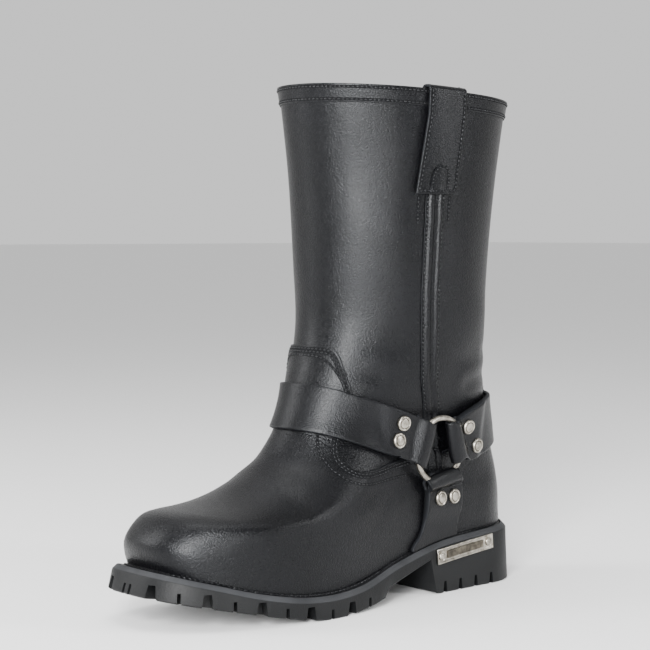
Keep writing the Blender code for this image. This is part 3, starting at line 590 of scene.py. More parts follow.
# The lining is a dark brushed fabric without any shine, which lets the eye read the collar's edge.
lining = make_leather("textile_lining", "1c1c1d", "2a2a2b", 0.6, 0.9, 0.0, 0.8)
# Bonded nylon thread shines more than the leather. The groove that it presses lies in shade, and that shade
# is painted: a flat near-black ribbon under each row of stitches. Together they make each row of stitches a
# dark line with small lights on it.
thread = make_leather("bonded_thread", "08080a", "0e0e10", 0.35, 0.26, 0.1, 0.3, level=0.32)
stitch_shade_ribbon = make_leather("painted_stitch_shade", "020203", "040405", 0.6, 0.85, 0.0, 0.3)


def dress(made, face, wall=raw_edge, back=None):
    for look in (face, wall, back or face):
        made.data.materials.append(look)


print("leather, lining and thread:", [made.name for made in (grained_leather, strap_leather, lining, thread)])

# %% [markdown]
# The upper itself: one wall from under the sole's rim to the collar, 2.2 mm thick. Its inside is lined,
# so the back of the slab takes the lining's finish. It is a patch of the skin that closes on itself, and
# needs no cut.

# %% Upper
WALL = 2.2
upper = panel("upper_leather", (0, TOP), (0, AROUND), -WALL, 0.0, h_step=3.0)
dress(upper["object"], grained_leather, grained_leather, lining)

# %% [markdown]
# The vamp lies on the quarter. Its cut edge sweeps from the back of the arch strap around the ankle and
# up to a tab on the shin. The outline is drawn on the side view, since both sides are cut from one paper
# pattern. The second layer is 1.5 mm thick over the quarter, and its raw edge shows as a thin step.

# %% Vamp
VAMP_EDGE = [(172, 171.2), (166, 171), (162.6, 169.6), (160.6, 165.5), (159.4, 158), (158, 150),
             (156, 142), (155.4, 134), (158, 124), (164, 114), (169, 105), (169.6, 98), (166, 92.5),
             (159.5, 89.6), (150, 89.6), (140, 91.2), (125, 94), (104, 96.5), (86, 97)]
BEYOND_TOE = 330
UNDER_SOLE = -10
LAYER = (0.3, 1.8)
vamp_shape = [(BEYOND_TOE, VAMP_EDGE[0][1])] + along_line(VAMP_EDGE, 90).tolist()
vamp_shape += [(VAMP_EDGE[-1][0], UNDER_SOLE), (BEYOND_TOE, UNDER_SOLE)]
vamp = panel("vamp_leather", (SKIRT, 190), (3, AROUND - 3), *LAYER, h_step=2.4, c_step=0.11,
             inside=outline(vamp_shape))
dress(vamp["object"], grained_leather)

# %% [markdown]
# The counter is the same layer around the heel. It meets the vamp under the arch strap and climbs the
# back of the leg as a rounded tongue, which on the real boot covers the back seam.

# %% Counter
COUNTER_EDGE = [(82, 96), (70, 98.6), (60, 101), (48, 104.6), (38, 109), (30, 116), (26.4, 124), (25.2, 138),
                (25.2, 160), (25.6, 185), (25.4, 198), (24, 205), (21, 209.6), (16, 212)]
BEHIND_HEEL = -30
counter_shape = along_line(COUNTER_EDGE, 70).tolist() + [(BEHIND_HEEL, COUNTER_EDGE[-1][1])]
counter_shape += [(BEHIND_HEEL, UNDER_SOLE), (COUNTER_EDGE[0][0], UNDER_SOLE)]
counter = panel("counter_leather", (SKIRT, 225), (-9, 9), *LAYER, h_step=2.4, c_step=0.11,
                inside=outline(counter_shape))
dress(counter["object"], grained_leather)

# %% [markdown]
# The collar is bound by a band that is turned over the top edge. Seen from outside it is a low step with
# a row of stitches on each of its edges.

# %% Collar band
BAND = 12.0
band_rise = (LAST[-1][FRONT, 2] - LAST[-1][0, 2]) / (LAST[-1][FRONT, 0] - LAST[-1][0, 0])


def under_collar(points):
    """Distance below the collar's edge."""
    return LAST[-1][0, 2] + band_rise * (points[:, 0] - LAST[-1][0, 0]) - points[:, 2]


band = panel("collar_band_leather", (TOP - 24, TOP), (0, AROUND), LAYER[0], 0.8, h_step=1.6,
             inside=lambda points: under_collar(points) - BAND,
             lift=lambda points: 0.55 * np.clip(1 - under_collar(points) / BAND, 0, 1))
dress(band["object"], grained_leather)

# %% [markdown]
# The shaft is closed down each side with a lapped seam: a wide ridge, a deep dark line where the two
# pieces meet, and a narrow ridge. It is cut as a strip of the skin and lifted by a profile across its
# width.

# %% Side seams
# Each row: z, x.
SEAM = [(82, 85), (98.6, 88), (126, 94), (148, 101), (180, 104.4), (208, 106), (268, 106), (301, 102),
        (325, 99)]
SEAM_BOTTOM = SEAM[0][0]
SEAM_TOP = SEAM[-1][0]
SEAM_HALF = 7.0
# Below this height the seam lies on the vamp's layer, and is lifted over it.
ON_VAMP = 101.0


def seam_x(z):
    return np.interp(z, [row[0] for row in SEAM], [row[1] for row in SEAM])


def across_seam(points):
    return points[:, 0] - seam_x(points[:, 2])


def seam_lift(points):
    """The wide ridge, the narrow ridge and the groove between them, in millimetres."""
    d = across_seam(points)
    wide = 1.7 * np.exp(-((d + 3.3) / 2.2) ** 4)
    narrow = 1.4 * np.exp(-((d - 2.5) / 2.1) ** 4)
    groove = 1.3 * np.exp(-((d + 2.2) / 0.8) ** 2)
    return wide + narrow - groove + 1.5 * ramp(points[:, 2], ON_VAMP, ON_VAMP - 5)


def seam_shape(points):
    beyond = np.maximum(SEAM_BOTTOM - points[:, 2], points[:, 2] - SEAM_TOP)
    return np.maximum(np.abs(across_seam(points)) - SEAM_HALF, beyond)


seams = {}
for side_name, side in SIDES.items():
    low, _ = locate([(SEAM[0][1], SEAM_BOTTOM)], side)
    columns = (19.5, 26.5) if side > 0 else (5.5, 12.5)
    seams[side_name] = panel("seam_" + side_name, (float(low[0]) - 8, TOP - 8), columns, 0.0, 0.9,
                             h_step=3.0, c_step=0.045, inside=seam_shape, lift=seam_lift, arris=0.3)
    dress(seams[side_name]["object"], grained_leather)

# %% [markdown]
# The harness is thick saddle leather with raw edges. Two ankle straps and an arch strap meet at the ring,
# each turned back around it and riveted to itself. On the skin they are slabs 2.8 mm thick, and towards
# the ring the second thickness raises them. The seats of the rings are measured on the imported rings, so
# that the straps meet the solids wherever these lie.

# %% Ring seats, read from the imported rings
# Back and face of a strap over the skin, the rise of its second thickness, and how far each strap stands off
# the skin where the ring carries it.
STRAP = (2.1, 4.9)
DOUBLE = 2.0
BRIDGE = {"front": 2.2, "back": 1.2, "arch": 0.6}


def ring_frame(side_name):
    """Centre, outward direction, and the forward and upward directions of a ring."""
    points = np.array([tuple(v.co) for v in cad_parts["ring_" + side_name].data.vertices]) / MM - SHIFT
    points = np.unique(points.round(3), axis=0)
    centre = points.mean(axis=0)
    normal = np.linalg.svd(points - centre)[2][2]
    normal *= np.sign(normal[1]) * (1 if side_name == "outer" else -1)
    forward = unit(np.array([1.0, 0.0, 0.0]) - normal * normal[0])
    upward = np.cross(normal, forward)
    upward *= np.sign(upward[2])
    return centre, normal, forward, upward


RINGS = {side: ring_frame(side_name) for side_name, side in SIDES.items()}
print("ring centre:", RINGS[1][0].round(1), "and", RINGS[-1][0].round(1))

# %% [markdown]
# The ankle straps are cut with a slight curve, so that they lie flat on the cone of the leg. Each is
# drawn by its top and its lower edge in the side view and runs on around the leg to the other ring.

# %% Ankle straps
FRONT_TOP = [(98, 119), (113, 125.6), (129, 131), (145, 136.4), (156, 140), (166, 143.6), (180, 146.5),
             (206, 150)]
FRONT_LOW = [(98, 92.6), (109, 92.6), (128, 96.5), (149, 104), (172, 112), (184, 115), (210, 119)]
BACK_TOP = [(78, 118), (61, 126.5), (42, 131), (20, 133.6), (-12, 137)]
BACK_LOW = [(72, 95), (60, 89.6), (42, 92), (20, 98), (-12, 104)]


def strap_lift(begin, finish):
    """Rise of the strap's face where it is doubled, from none at begin to all at finish along x."""
    return lambda points: DOUBLE * ramp(points[:, 0], begin, finish)


def bridge_of(which):
    """How far a strap leaves the skin on its way to the ring, which holds it up."""
    axis, begin, finish = {"front": (0, 150, 116), "back": (0, 34, 66), "arch": (2, 52, 78)}[which]
    return lambda points: BRIDGE[which] * ramp(points[:, axis], begin, finish)


def band_shape(top, low):
    """Outline of a strap from its two edges."""
    return along_line(top, 40).tolist() + along_line(low, 40)[::-1].tolist()


front_shape = band_shape(FRONT_TOP, FRONT_LOW)
front_strap = panel("front_strap", (95, 185), (4, AROUND - 4), *STRAP, h_step=2.2, c_step=0.1,
                    inside=outline(front_shape), lift=strap_lift(142, 131), off=bridge_of("front"),
                    arris=0.6)
back_shape = band_shape(BACK_TOP, BACK_LOW)
back_strap = panel("back_strap", (70, 175), (-11, 11), *STRAP, h_step=2.2, c_step=0.1,
                   inside=outline(back_shape), lift=strap_lift(42, 51), off=bridge_of("back"), arris=0.6)
for made in (front_strap, back_strap):
    dress(made["object"], strap_leather)

# %% [markdown]
# The arch strap dives behind the sole's rim, so it needs the height of that rim. The rim is a smooth
# curve through a few knots along the sole: high at the heel, low at the ball, and up again at the toe.

# %% Top edge of the sole
SOLE_LENGTH = 308.0
# Each row: share of the sole's length, height.
TOP_EDGE = [(0.00, 41.5), (0.14, 38.5), (0.28, 35.2), (0.42, 26.6), (0.55, 17.0), (0.68, 15.6), (0.80, 21.3),
            (0.90, 29.5), (1.00, 37.9)]


def through(knots, x):
    """Smooth curve through a table of (position, value)."""
    xs = np.array([k[0] for k in knots], float)
    ys = np.array([k[1] for k in knots], float)
    x = np.clip(x, xs[0], xs[-1])
    slopes = np.gradient(ys, xs)
    i = np.clip(np.searchsorted(xs, x, side="right") - 1, 0, len(xs) - 2)
    h = xs[i + 1] - xs[i]
    t = (x - xs[i]) / h
    rise = (2 * t**3 - 3 * t**2 + 1) * ys[i] + (-2 * t**3 + 3 * t**2) * ys[i + 1]
    return rise + h * ((t**3 - 2 * t**2 + t) * slopes[i] + (t**3 - t**2) * slopes[i + 1])


def sole_top(x):
    return through(TOP_EDGE, np.asarray(x, float) / SOLE_LENGTH)


print("rim at heel, ball and toe:", sole_top([0, 0.68 * SOLE_LENGTH, SOLE_LENGTH]).round(1))

# %% [markdown]
# The arch strap hangs from the ring and holds it down. It widens a little towards the sole, where it is
# lasted in between upper and insole. One outline serves both sides.

# %% Arch straps
ARCH_FRONT = [(96.5, 84), (98.6, 75), (99.8, 66), (100.2, 58), (101.4, 50), (104.8, 42), (111, 36)]
ARCH_BACK = [(68.5, 84), (65.8, 75), (64.8, 66), (64.8, 58), (65.6, 50), (67.4, 43)]
arch_foot = [(x, float(sole_top(x)) + 0.7) for x in np.linspace(114, 66, 8)]
arch_shape = along_line(ARCH_FRONT, 30).tolist() + arch_foot + along_line(ARCH_BACK, 30)[::-1].tolist()
arch_straps = {}
for side_name, side in SIDES.items():
    columns = (19, 28.5) if side > 0 else (3.5, 13)
    made = panel("arch_strap_" + side_name, (0, 95), columns, *STRAP, h_step=1.8, c_step=0.07,
                 inside=outline(arch_shape), lift=lambda points: DOUBLE * ramp(points[:, 2], 48, 60),
                 off=bridge_of("arch"), arris=0.6)
    dress(made["object"], strap_leather)
    arch_straps[side_name] = made

# %% [markdown]
# Around the ring each strap forms a soft tube: it rises from its own face, crowns over the wire, turns
# under at its nose and runs back beneath. The tube is one sheet swept along that profile. Its far end is
# blended into the strap's face, and its sides stay open, so that the ring passes through it.

# %% Profile of the folds
# Each row: direction in degrees, nose, foot, slant of the foot, width at the nose.
FOLDS = {"front": (16.0, 9.5, 29.0, 0.0, 30.0), "back": (163.0, 9.5, 28.0, 2.4, 30.0),
         "arch": (259.0, 15.5, 29.6, -1.4, 31.0)}
STRAP_SHAPES = {"front": outline(front_shape), "back": outline(back_shape), "arch": outline(arch_shape)}
FOLD_HEIGHT = 4.7
NOSE = 6.0
FOLD_THICK = 2.3
RISE_STEPS = 33
FOLD_POINTS = 17
PLAIN_REACH = 17.0


def sheet_faces(rows, columns):
    faces = []
    for i in range(rows - 1):
        for j in range(columns - 1):
            at = i * columns + j
            faces.append([at, at + 1, at + columns + 1, at + columns])
    return faces


def sheet_normals(grid):
    along = np.gradient(grid, axis=0)
    across = np.gradient(grid, axis=1)
    return unit(np.cross(across, along))


def strap_face(points, side, which):
    """The doubled strap's face near given places."""
    h, c = locate(points[:, [0, 2]].tolist(), side)
    at, normal = leather(h, c)
    return at + normal * (STRAP[1] + DOUBLE - 0.1 + bridge_of(which)(at))[:, None]


def fold_path(nose, foot):
    """Reach and height of a fold, from its foot over its crest, round its nose and back under."""
    path = []
    crown = nose + NOSE
    for reach in np.linspace(foot + 6, crown, RISE_STEPS + 1)[:-1]:
        path.append((reach, 1.0))
    for angle in np.radians(np.linspace(90, 270, 19)):
        path.append((crown + NOSE * math.cos(angle), math.sin(angle)))
    for reach in np.linspace(crown, foot - 3, 7)[1:]:
        path.append((reach, -1.0))
    return np.array(path)


def strap_reach(which, middle, sideways):
    """How far the strap's edge lies on one side of a place on its middle."""
    steps = np.arange(8.0, 24.0, 0.1)
    places = middle + sideways * steps[:, None]
    outside = STRAP_SHAPES[which](places) > -0.15
    return float(steps[np.argmax(outside)]) if outside.any() else PLAIN_REACH


print("points of the front strap's fold:", len(fold_path(*FOLDS["front"][1:3])))

# %% [markdown]
# A fold starts on the strap's own edges and closes in to the width that its ring leaves free. Its crest
# is crowned, its nose bows a little, and towards its foot it sinks into the strap's face by a rising
# weight, so that both read as one piece of leather.

# %% Folds around the rings
def make_fold(which, side_name, side):
    direction, nose, foot, slant, nose_width = FOLDS[which]
    centre, normal, forward, upward = RINGS[side]
    turn = math.radians(direction)
    outward = math.cos(turn) * forward + math.sin(turn) * upward
    sideways = -math.sin(turn) * forward + math.cos(turn) * upward
    path = fold_path(nose, foot)
    widths = np.linspace(-0.5, 0.5, FOLD_POINTS)
    rows = []
    for reach, height in path:
        away = float(ramp(reach, nose + 3, foot))
        middle = centre + outward * reach
        edges = np.array([-strap_reach(which, middle, -sideways), strap_reach(which, middle, sideways)])
        edges = edges * away + np.array([-0.5, 0.5]) * nose_width * (1 - away)
        across = edges[0] + (widths + 0.5) * (edges[1] - edges[0])
        crown = 1 - 0.08 * (2 * widths) ** 2
        bow = 0.9 * (2 * widths) ** 2 * (1 - away) + slant * 2 * widths * away
        row = centre + outward * (reach + bow)[:, None] + sideways[None] * across[:, None]
        rows.append(row + normal * (FOLD_HEIGHT * height * crown)[:, None])
    grid = np.array(rows)
    for i in range(RISE_STEPS):
        weight = float(ramp(path[i, 0], nose + NOSE, foot)) ** 1.9
        if weight > 0:
            grid[i] += weight * (strap_face(grid[i], side, which) - grid[i])
    normals = sheet_normals(grid)
    if normals[RISE_STEPS, FOLD_POINTS // 2] @ normal < 0:
        grid = grid[:, ::-1]
        normals = sheet_normals(grid)
    faces = sheet_faces(*grid.shape[:2])
    made = slab(f"fold_{which}_{side_name}", grid.reshape(-1, 3), normals.reshape(-1, 3), faces,
                -FOLD_THICK, 0.0, 0.5)
    dress(made["object"], strap_leather)
    return made


folds = []
for side_name, side in SIDES.items():
    for which in FOLDS:
        folds.append(make_fold(which, side_name, side))
print("folds:", len(folds))

# %% [markdown]
# Antique nickel is plated bright, darkened, and rubbed until only hollows stay dark. It is a metal with a
# warm grey colour, clouded over 3 to 4 mm, and with a finely brushed gloss. The eye takes its clouds for
# age. The patina left in hollows is the same finish, darker and duller.

# %% Antique nickel
def make_nickel(name, bright, dull, roughness):
    made, shader = new_material(name)
    place = add(made, "ShaderNodeTexCoord").outputs["Object"]
    cloud = add(made, "ShaderNodeTexNoise", {"Vector": place, "Scale": 1 / (3.5 * MM), "Detail": 5.0})
    speck = add(made, "ShaderNodeTexNoise", {"Vector": place, "Scale": 1 / (0.7 * MM), "Detail": 3.0})
    share = add(made, "ShaderNodeMapRange", {"Value": cloud.outputs["Fac"], "From Min": 0.35,
                                             "From Max": 0.65})
    tone = add(made, "ShaderNodeValToRGB", {"Fac": share.outputs["Result"]})
    tone.color_ramp.elements[0].color = colour(dull)
    tone.color_ramp.elements[1].color = colour(bright)
    gloss = add(made, "ShaderNodeMapRange", {"Value": speck.outputs["Fac"], "From Min": 0.3, "From Max": 0.7,
                                             "To Min": roughness - 0.06, "To Max": roughness + 0.08})
    raised = add(made, "ShaderNodeBump", {"Height": speck.outputs["Fac"], "Strength": 0.25,
                                          "Distance": 0.1 * MM})
    finish(made, shader, tone.outputs["Color"], gloss, raised)
    shader.inputs["Metallic"].default_value = 1.0
    return made


nickel = make_nickel("antique_nickel", "b8b3a9", "868177", 0.32)
patina = make_nickel("nickel_patina", "6d675c", "3f3b35", 0.5)


def to_frame(point):
    return Vector(((np.asarray(point) + SHIFT) * MM).tolist())


def settle(made, point, x_axis, z_axis):
    """Lays an object with its own x and z along given directions and applies its place to its mesh."""
    z_axis = unit(np.asarray(z_axis, float))
    x_axis = unit(np.asarray(x_axis, float) - z_axis * np.dot(x_axis, z_axis))
    y_axis = np.cross(z_axis, x_axis)
    turn = Matrix([x_axis.tolist(), y_axis.tolist(), z_axis.tolist()]).transposed().to_4x4()
    made.data.transform(Matrix.Translation(to_frame(point)) @ turn)


print("metal:", nickel.name, patina.name)

# %% [markdown]
# The rings are bent from 4 mm steel wire, welded and plated. A torus is added at its real size, laid into
# its seat and given a slight waviness, because a hand-closed ring is never quite even.

# %% Rings
RING_OUTER = 47.5
WIRE = 4.0


def make_ring(side_name, side):
    centre, normal, forward, _ = RINGS[side]
    bpy.ops.mesh.primitive_torus_add(major_radius=(RING_OUTER - WIRE) / 2 * MM, minor_radius=WIRE / 2 * MM,
                                     major_segments=96, minor_segments=18)
    ring = bpy.context.object
    ring.name = "nickel_ring_" + side_name
    for vert in ring.data.vertices:
        angle = math.atan2(vert.co.y, vert.co.x)
        vert.co *= 1 + 0.002 * math.sin(5 * angle + 1.0) + 0.0015 * math.sin(9 * angle)
    settle(ring, centre, forward, normal)
    ring.data.shade_smooth()
    ring.data.materials.append(nickel)
    return ring


rings = {side_name: make_ring(side_name, side) for side_name, side in SIDES.items()}
print("rings:", [ring.name for ring in rings.values()])

# %% [markdown]
# Each rivet is a two-part cap set through both thicknesses. Its head is a shallow dome with a raised rim.
# The profile is drawn once as an edge and spun around its axis in edit mode, and the cap is copied to its
# places.

# %% Rivets
# Each row: radius, height.
RIVET = [(0.0, 1.55), (1.6, 1.5), (3.1, 1.35), (3.5, 1.12), (3.8, 1.12), (4.15, 1.45), (4.6, 1.4),
         (5.0, 0.95), (5.2, 0.3), (5.2, -0.6), (0.0, -0.6)]
RIVET_GROOVE = (3.2, 3.9)


def spun(name, profile, dark_from, dark_to):
    """A round part spun from its profile of radius and height. Faces between the two radii are left dark."""
    bpy.ops.mesh.primitive_plane_add(size=2 * MM)
    made = bpy.context.object
    made.name = name
    bpy.ops.object.mode_set(mode="EDIT")
    bpy.ops.mesh.select_all(action="SELECT")
    bpy.ops.mesh.delete(type="VERT")
    shape = bmesh.from_edit_mesh(made.data)
    line = [shape.verts.new((r * MM, 0.0, z * MM)) for r, z in profile]
    for a, b in zip(line, line[1:]):
        shape.edges.new((a, b))
    bmesh.update_edit_mesh(made.data)
    bpy.ops.mesh.select_all(action="SELECT")
    bpy.ops.mesh.spin(steps=36, angle=2 * math.pi, center=(0, 0, 0), axis=(0, 0, 1))
    bpy.ops.mesh.remove_doubles(threshold=0.01 * MM)
    bpy.ops.mesh.normals_make_consistent(inside=False)
    bpy.ops.object.mode_set(mode="OBJECT")
    made.data.shade_smooth()
    made.data.materials.append(nickel)
    made.data.materials.append(patina)
    for face in made.data.polygons:
        reach = math.hypot(face.center.x, face.center.y) / MM
        face.material_index = int(dark_from < reach < dark_to)
    return made


print("points of the rivet's profile:", len(RIVET))

# %% [markdown]
# Two rivets a strap stand across it, just beyond the fold, and lean with the strap. Each is seated on
# the face of the doubled strap and turned a little, as no two caps are set alike.

# %% Places of the rivets
RIVETS = {"front": [(124.0, 121.0), (128.0, 108.0)], "back": [(63.0, 115.0), (52.0, 100.0)],
          "arch": [(88.5, 66.0), (74.5, 66.0)]}
cap_model = spun("rivet_model", RIVET, *RIVET_GROOVE)
rivets = {}
for side_name, side in SIDES.items():
    for which, spots in RIVETS.items():
        for i, spot in enumerate(spots, 1):
            cap = bpy.data.objects.new(f"cap_{which}_{side_name}_{i}", cap_model.data.copy())
            bpy.context.scene.collection.objects.link(cap)
            h, c = locate([spot], side)
            at, normal = leather(h, c)
            face = STRAP[1] + DOUBLE + float(bridge_of(which)(at)[0])
            settle(cap, at[0] + normal[0] * (face + 0.5), (1, 0, 0.2 * i), normal[0])
            rivets[cap.name] = cap
bpy.data.objects.remove(cap_model)
print("rivets:", len(rivets))

# %% [markdown]
# The boot is sewn with thick bonded thread, about eight stitches an inch. Painted stitches would not
# catch the light, so one stitch is modelled once, as a small bead pulled down at both ends. It is sewn
# along lines that keep a fixed distance from the cut edge, as the presser foot of a sewing machine does.
# The thread is drawn a third thicker than real, so that its rows still show at this size.

# %% One stitch
bpy.ops.mesh.primitive_uv_sphere_add(segments=6, ring_count=5, radius=0.5)
bead = bpy.context.object
bead.data.transform(Matrix.Rotation(math.pi / 2, 4, "Y"))
bead_points = np.array([tuple(v.co) for v in bead.data.vertices])
bead_points[:, 2] -= 0.9 * (np.abs(bead_points[:, 0]) ** 3) * 2
bead_faces = [list(p.vertices) for p in bead.data.polygons]
bpy.data.objects.remove(bead)
print("faces of one stitch:", len(bead_faces))

# %% [markdown]
# A row of stitches starts as a line at a distance inside a cut edge. It is evened out, divided by the
# machine's stitch length, and laid onto the face of its piece.

# %% Lines for the thread
def smooth_run(points, window=5):
    """Averages a line with its neighbours, with its ends kept."""
    if len(points) < window:
        return points
    padded = np.pad(points, ((window // 2, window // 2), (0, 0)), mode="edge")
    return np.stack([np.convolve(padded[:, k], np.ones(window) / window, "valid") for k in range(3)], 1)


def evenly(points, pitch):
    """Points at an even pitch along a line."""
    run = np.concatenate([[0], np.cumsum(np.linalg.norm(np.diff(points, axis=0), axis=1))])
    if run[-1] < 2 * pitch:
        return None
    at = np.linspace(0, run[-1], int(run[-1] / pitch) + 1)
    return np.stack([np.interp(at, run, points[:, k]) for k in range(3)], 1)


def seated(points, tree, rise):
    """Puts points on a surface, with the direction out of it."""
    out, normals = [], []
    for point in points:
        place, normal, _, _ = tree.find_nearest(Vector(point.tolist()))
        out.append(np.array(place) + rise * np.array(normal))
        normals.append(np.array(normal))
    return np.array(out), np.array(normals)


def face_tree(made):
    """Lookup of a slab's outer face."""
    top = made["points"] + made["normals"] * made["high"][:, None]
    return BVHTree.FromPolygons([Vector(p) for p in top.tolist()], made["faces"])


def edge_rows(made, distance, keep):
    """Lines inside a slab's border at a distance, where keep is true of their points."""
    rows = []
    for loop in made["loops"]:
        loop = np.array(loop)
        line = made["points"][loop] + made["inward"][loop] * distance
        good = keep(made["points"][loop])
        if good.all():
            rows.append(line)
            continue
        start = int(np.argmin(good))
        line, good = np.roll(line, -start, axis=0), np.roll(good, -start)
        ends = np.flatnonzero(np.diff(np.concatenate([[0], good.astype(int), [0]])))
        rows += [line[a:b] for a, b in zip(ends[::2], ends[1::2]) if b - a > 4]
    return rows

# %% [markdown]
# Each stitch takes the direction of its line and the slope of the leather. Between the stitches runs a narrow
# ribbon just above the face, painted dark as the shade in the groove that they press.

# %% Sew
def sew(name, rows, made, pitch=2.9, long=2.35, wide=1.05, deep=1.15, rise=0.14, channel=1.9):
    """Stitches along lines, seated on a slab's face, as one mesh, over a ribbon of painted shade where their
    groove lies.
    """
    tree = face_tree(made)
    points, faces, slots, count = [], [], [], 0
    for row in rows:
        line = evenly(smooth_run(np.asarray(row)), pitch)
        if line is None:
            continue
        line, normals = seated(line, tree, rise)
        ribs = []
        for a, b, normal in zip(line, line[1:], normals):
            along = unit(b - a)
            beside = np.cross(normal, along)
            local = bead_points * np.array([long, wide, deep])
            points.append((a + b) / 2 + local @ np.array([along, beside, normal]))
            faces += [[v + count for v in face] for face in bead_faces]
            slots += [0] * len(bead_faces)
            count += len(bead_points)
            ribs.append((a, beside))
        # The ribbon is painted shade: a flat dark strip, channel millimetres wide, standing for the shadow in
        # the groove.
        for (a, beside_a), (b, beside_b) in zip(ribs, ribs[1:]):
            half = channel / 2
            corners = [a - beside_a * half, b - beside_b * half, b + beside_b * half, a + beside_a * half]
            points.append(np.array(corners))
            faces.append([count, count + 1, count + 2, count + 3])
            slots.append(1)
            count += 4
    if not points:
        raise ValueError("no line to sew in " + name)
    stitches = mesh_object(name, np.concatenate(points), faces, slots)
    stitches.data.materials.append(thread)
    stitches.data.materials.append(stitch_shade_ribbon)
    print(name, slots.count(0) // len(bead_faces), "stitches")
    return stitches

# %% [markdown]
# Two rows hold the vamp's edge and one the counter's. The collar and each half of the side seam have a
# row too, and a second pair of rows on the vamp is sewn further in. They stop where a strap or the sole
# covers them.

# %% Stitch rows
def above_sole(points, clear):
    return points[:, 2] > sole_top(points[:, 0]) + clear


def vamp_free(points):
    return above_sole(points, 40) & (points[:, 0] > 100)


def counter_free(points):
    return above_sole(points, 30) & (points[:, 0] < 78)


def everywhere(points):
    return points[:, 2] > 0


vamp_rows = edge_rows(vamp, 2.2, vamp_free) + edge_rows(vamp, 4.2, vamp_free)
stitching = [sew("vamp_thread", vamp_rows, vamp),
             sew("counter_thread", edge_rows(counter, 2.0, counter_free), counter),
             sew("collar_thread", edge_rows(band, 2.0, everywhere), band)]

# %% [markdown]
# These rows follow no cut edge, so they are drawn in the side view and found on the skin.

# %% Rows beside the seams and on the vamp
def side_line(points, side, count=120):
    """A line on the skin through places seen from the side."""
    flat = along_line(points, count)
    h, c = locate(flat.tolist(), side)
    return leather(h, c)[0]


for side_name, side in SIDES.items():
    rows = []
    for shift in (-6.1, 5.6):
        rows.append(side_line([(x + shift, z) for z, x in SEAM[2:-1]], side))
    stitching.append(sew("seam_thread_" + side_name, rows, seams[side_name]))

VAMP_INNER_ROW = [(177, 116), (179.6, 108), (180.4, 101), (178.4, 92), (172.5, 85.6), (163, 82), (150, 81.4),
                  (131, 83), (115, 84)]
TAB_INNER_ROW = [(158.8, 141), (161.6, 150), (164.4, 158), (167.4, 163.6), (171.5, 165.2), (176, 165.4)]
for side_name, side in SIDES.items():
    rows = [side_line(VAMP_INNER_ROW, side), side_line(TAB_INNER_ROW, side, 60)]
    stitching.append(sew("vamp_inner_thread_" + side_name, rows, vamp, pitch=3.0, long=2.3))

# %% [markdown]
# The sole is one moulded unit of nitrile rubber, with the heel in the same piece. Seen from above it is
# wide at the ball, narrow at the waist and turned inwards at the toe. A few knots along its length give
# its middle line and half width, and two rounded ends close it. Seen from the side it has a flat heel, a
# leaning breast and a tread that rolls up to the toe.

# %% Outline of the sole
# Each row: share of the length, place of the middle line, half width.
FOOT = [(0.00, 0.0, 35.8), (0.13, -1.0, 37.9), (0.28, 1.9, 38.4), (0.42, 4.1, 42.1), (0.55, 3.2, 51.2),
        (0.68, 0.2, 56.7), (0.80, -3.0, 54.3), (0.90, -6.4, 45.8), (1.00, -9.0, 38.9)]
CAP_LENGTH = 34.0
BACK_POWER = 2.2
TOE_POWER = 2.6
HEEL_LENGTH = 90.0
BREAST_LEAN = 6.0
BREAST_TOP = 24.0
TREAD_START = 144.0
TREAD_START_TOP = 10.5
TREAD = [(0.46, 6.2), (0.50, 3.6), (0.55, 1.3), (0.595, 0.0), (0.655, 0.0), (0.714, 2.6), (0.771, 6.0),
         (0.828, 9.6), (0.877, 12.8), (0.925, 16.0), (1.00, 21.5)]
RIM = 3.0
RECESS = 3.0


def foot_axis(x):
    return through([(row[0], row[1]) for row in FOOT], np.asarray(x, float) / SOLE_LENGTH)


def cap(depth, power):
    t = np.clip(1 - depth / CAP_LENGTH, 0, 1)
    return (1 - t**power) ** (1 / power)


def sole_half(x, inset=0.0):
    half = through([(row[0], row[2]) for row in FOOT], np.asarray(x, float) / SOLE_LENGTH)
    return (half - inset) * cap(x - inset, BACK_POWER) * cap(SOLE_LENGTH - inset - x, TOE_POWER)


def tread(x):
    return np.interp(x / SOLE_LENGTH, [row[0] for row in TREAD], [row[1] for row in TREAD])


def underside(x):
    arch = np.interp(x, [HEEL_LENGTH, HEEL_LENGTH + BREAST_LEAN, TREAD_START],
                     [0, BREAST_TOP, TREAD_START_TOP])
    return np.where(x <= HEEL_LENGTH, 0.0, np.where(x <= TREAD_START, arch, tread(x)))


def flare(x):
    """How far the wall leans out at the toe and in at the back of the heel."""
    return 4.0 * np.clip(1 - (SOLE_LENGTH - x) / 58, 0, 1) ** 2 - 3.0 * np.clip(1 - x / 60, 0, 1) ** 2


def sole_stations():
    """Places along the sole, closer at its round ends and with one on each corner of the underside."""
    even = (1 - np.cos(np.linspace(0, math.pi, 120))) / 2 * SOLE_LENGTH
    steps = [HEEL_LENGTH, HEEL_LENGTH + BREAST_LEAN, TREAD_START]
    steps += [row[0] * SOLE_LENGTH for row in TREAD[1:-1]]
    kept = [x for x in even if min(abs(x - s) for s in steps) > 1.0]
    return np.array(sorted(kept + steps))


def sole_loop(inset, drop, shift=0.0, floor=None):
    x = sole_stations()
    inside = inset + x * (1 - 2 * inset / SOLE_LENGTH)
    z = sole_top(inside) - drop if floor is None else underside(inside) + floor
    at = inside + shift * flare(x)
    half = sole_half(inside, inset)
    inner = np.stack([at, foot_axis(inside) - half, z], 1)
    outer = np.stack([at, foot_axis(inside) + half, z], 1)
    return np.concatenate([inner, outer[::-1][1:-1]])


print("half widths at heel, waist and ball:", sole_half(np.array([40.0, 110.0, 209.0])).round(1))

# %% [markdown]
# The blank is lofted through closed loops that follow the outline: foot of the wall, its top edge, a
# broad bevel, the rim and the channel in which the welt lies. Its two ends are closed with faces from
# side to side.

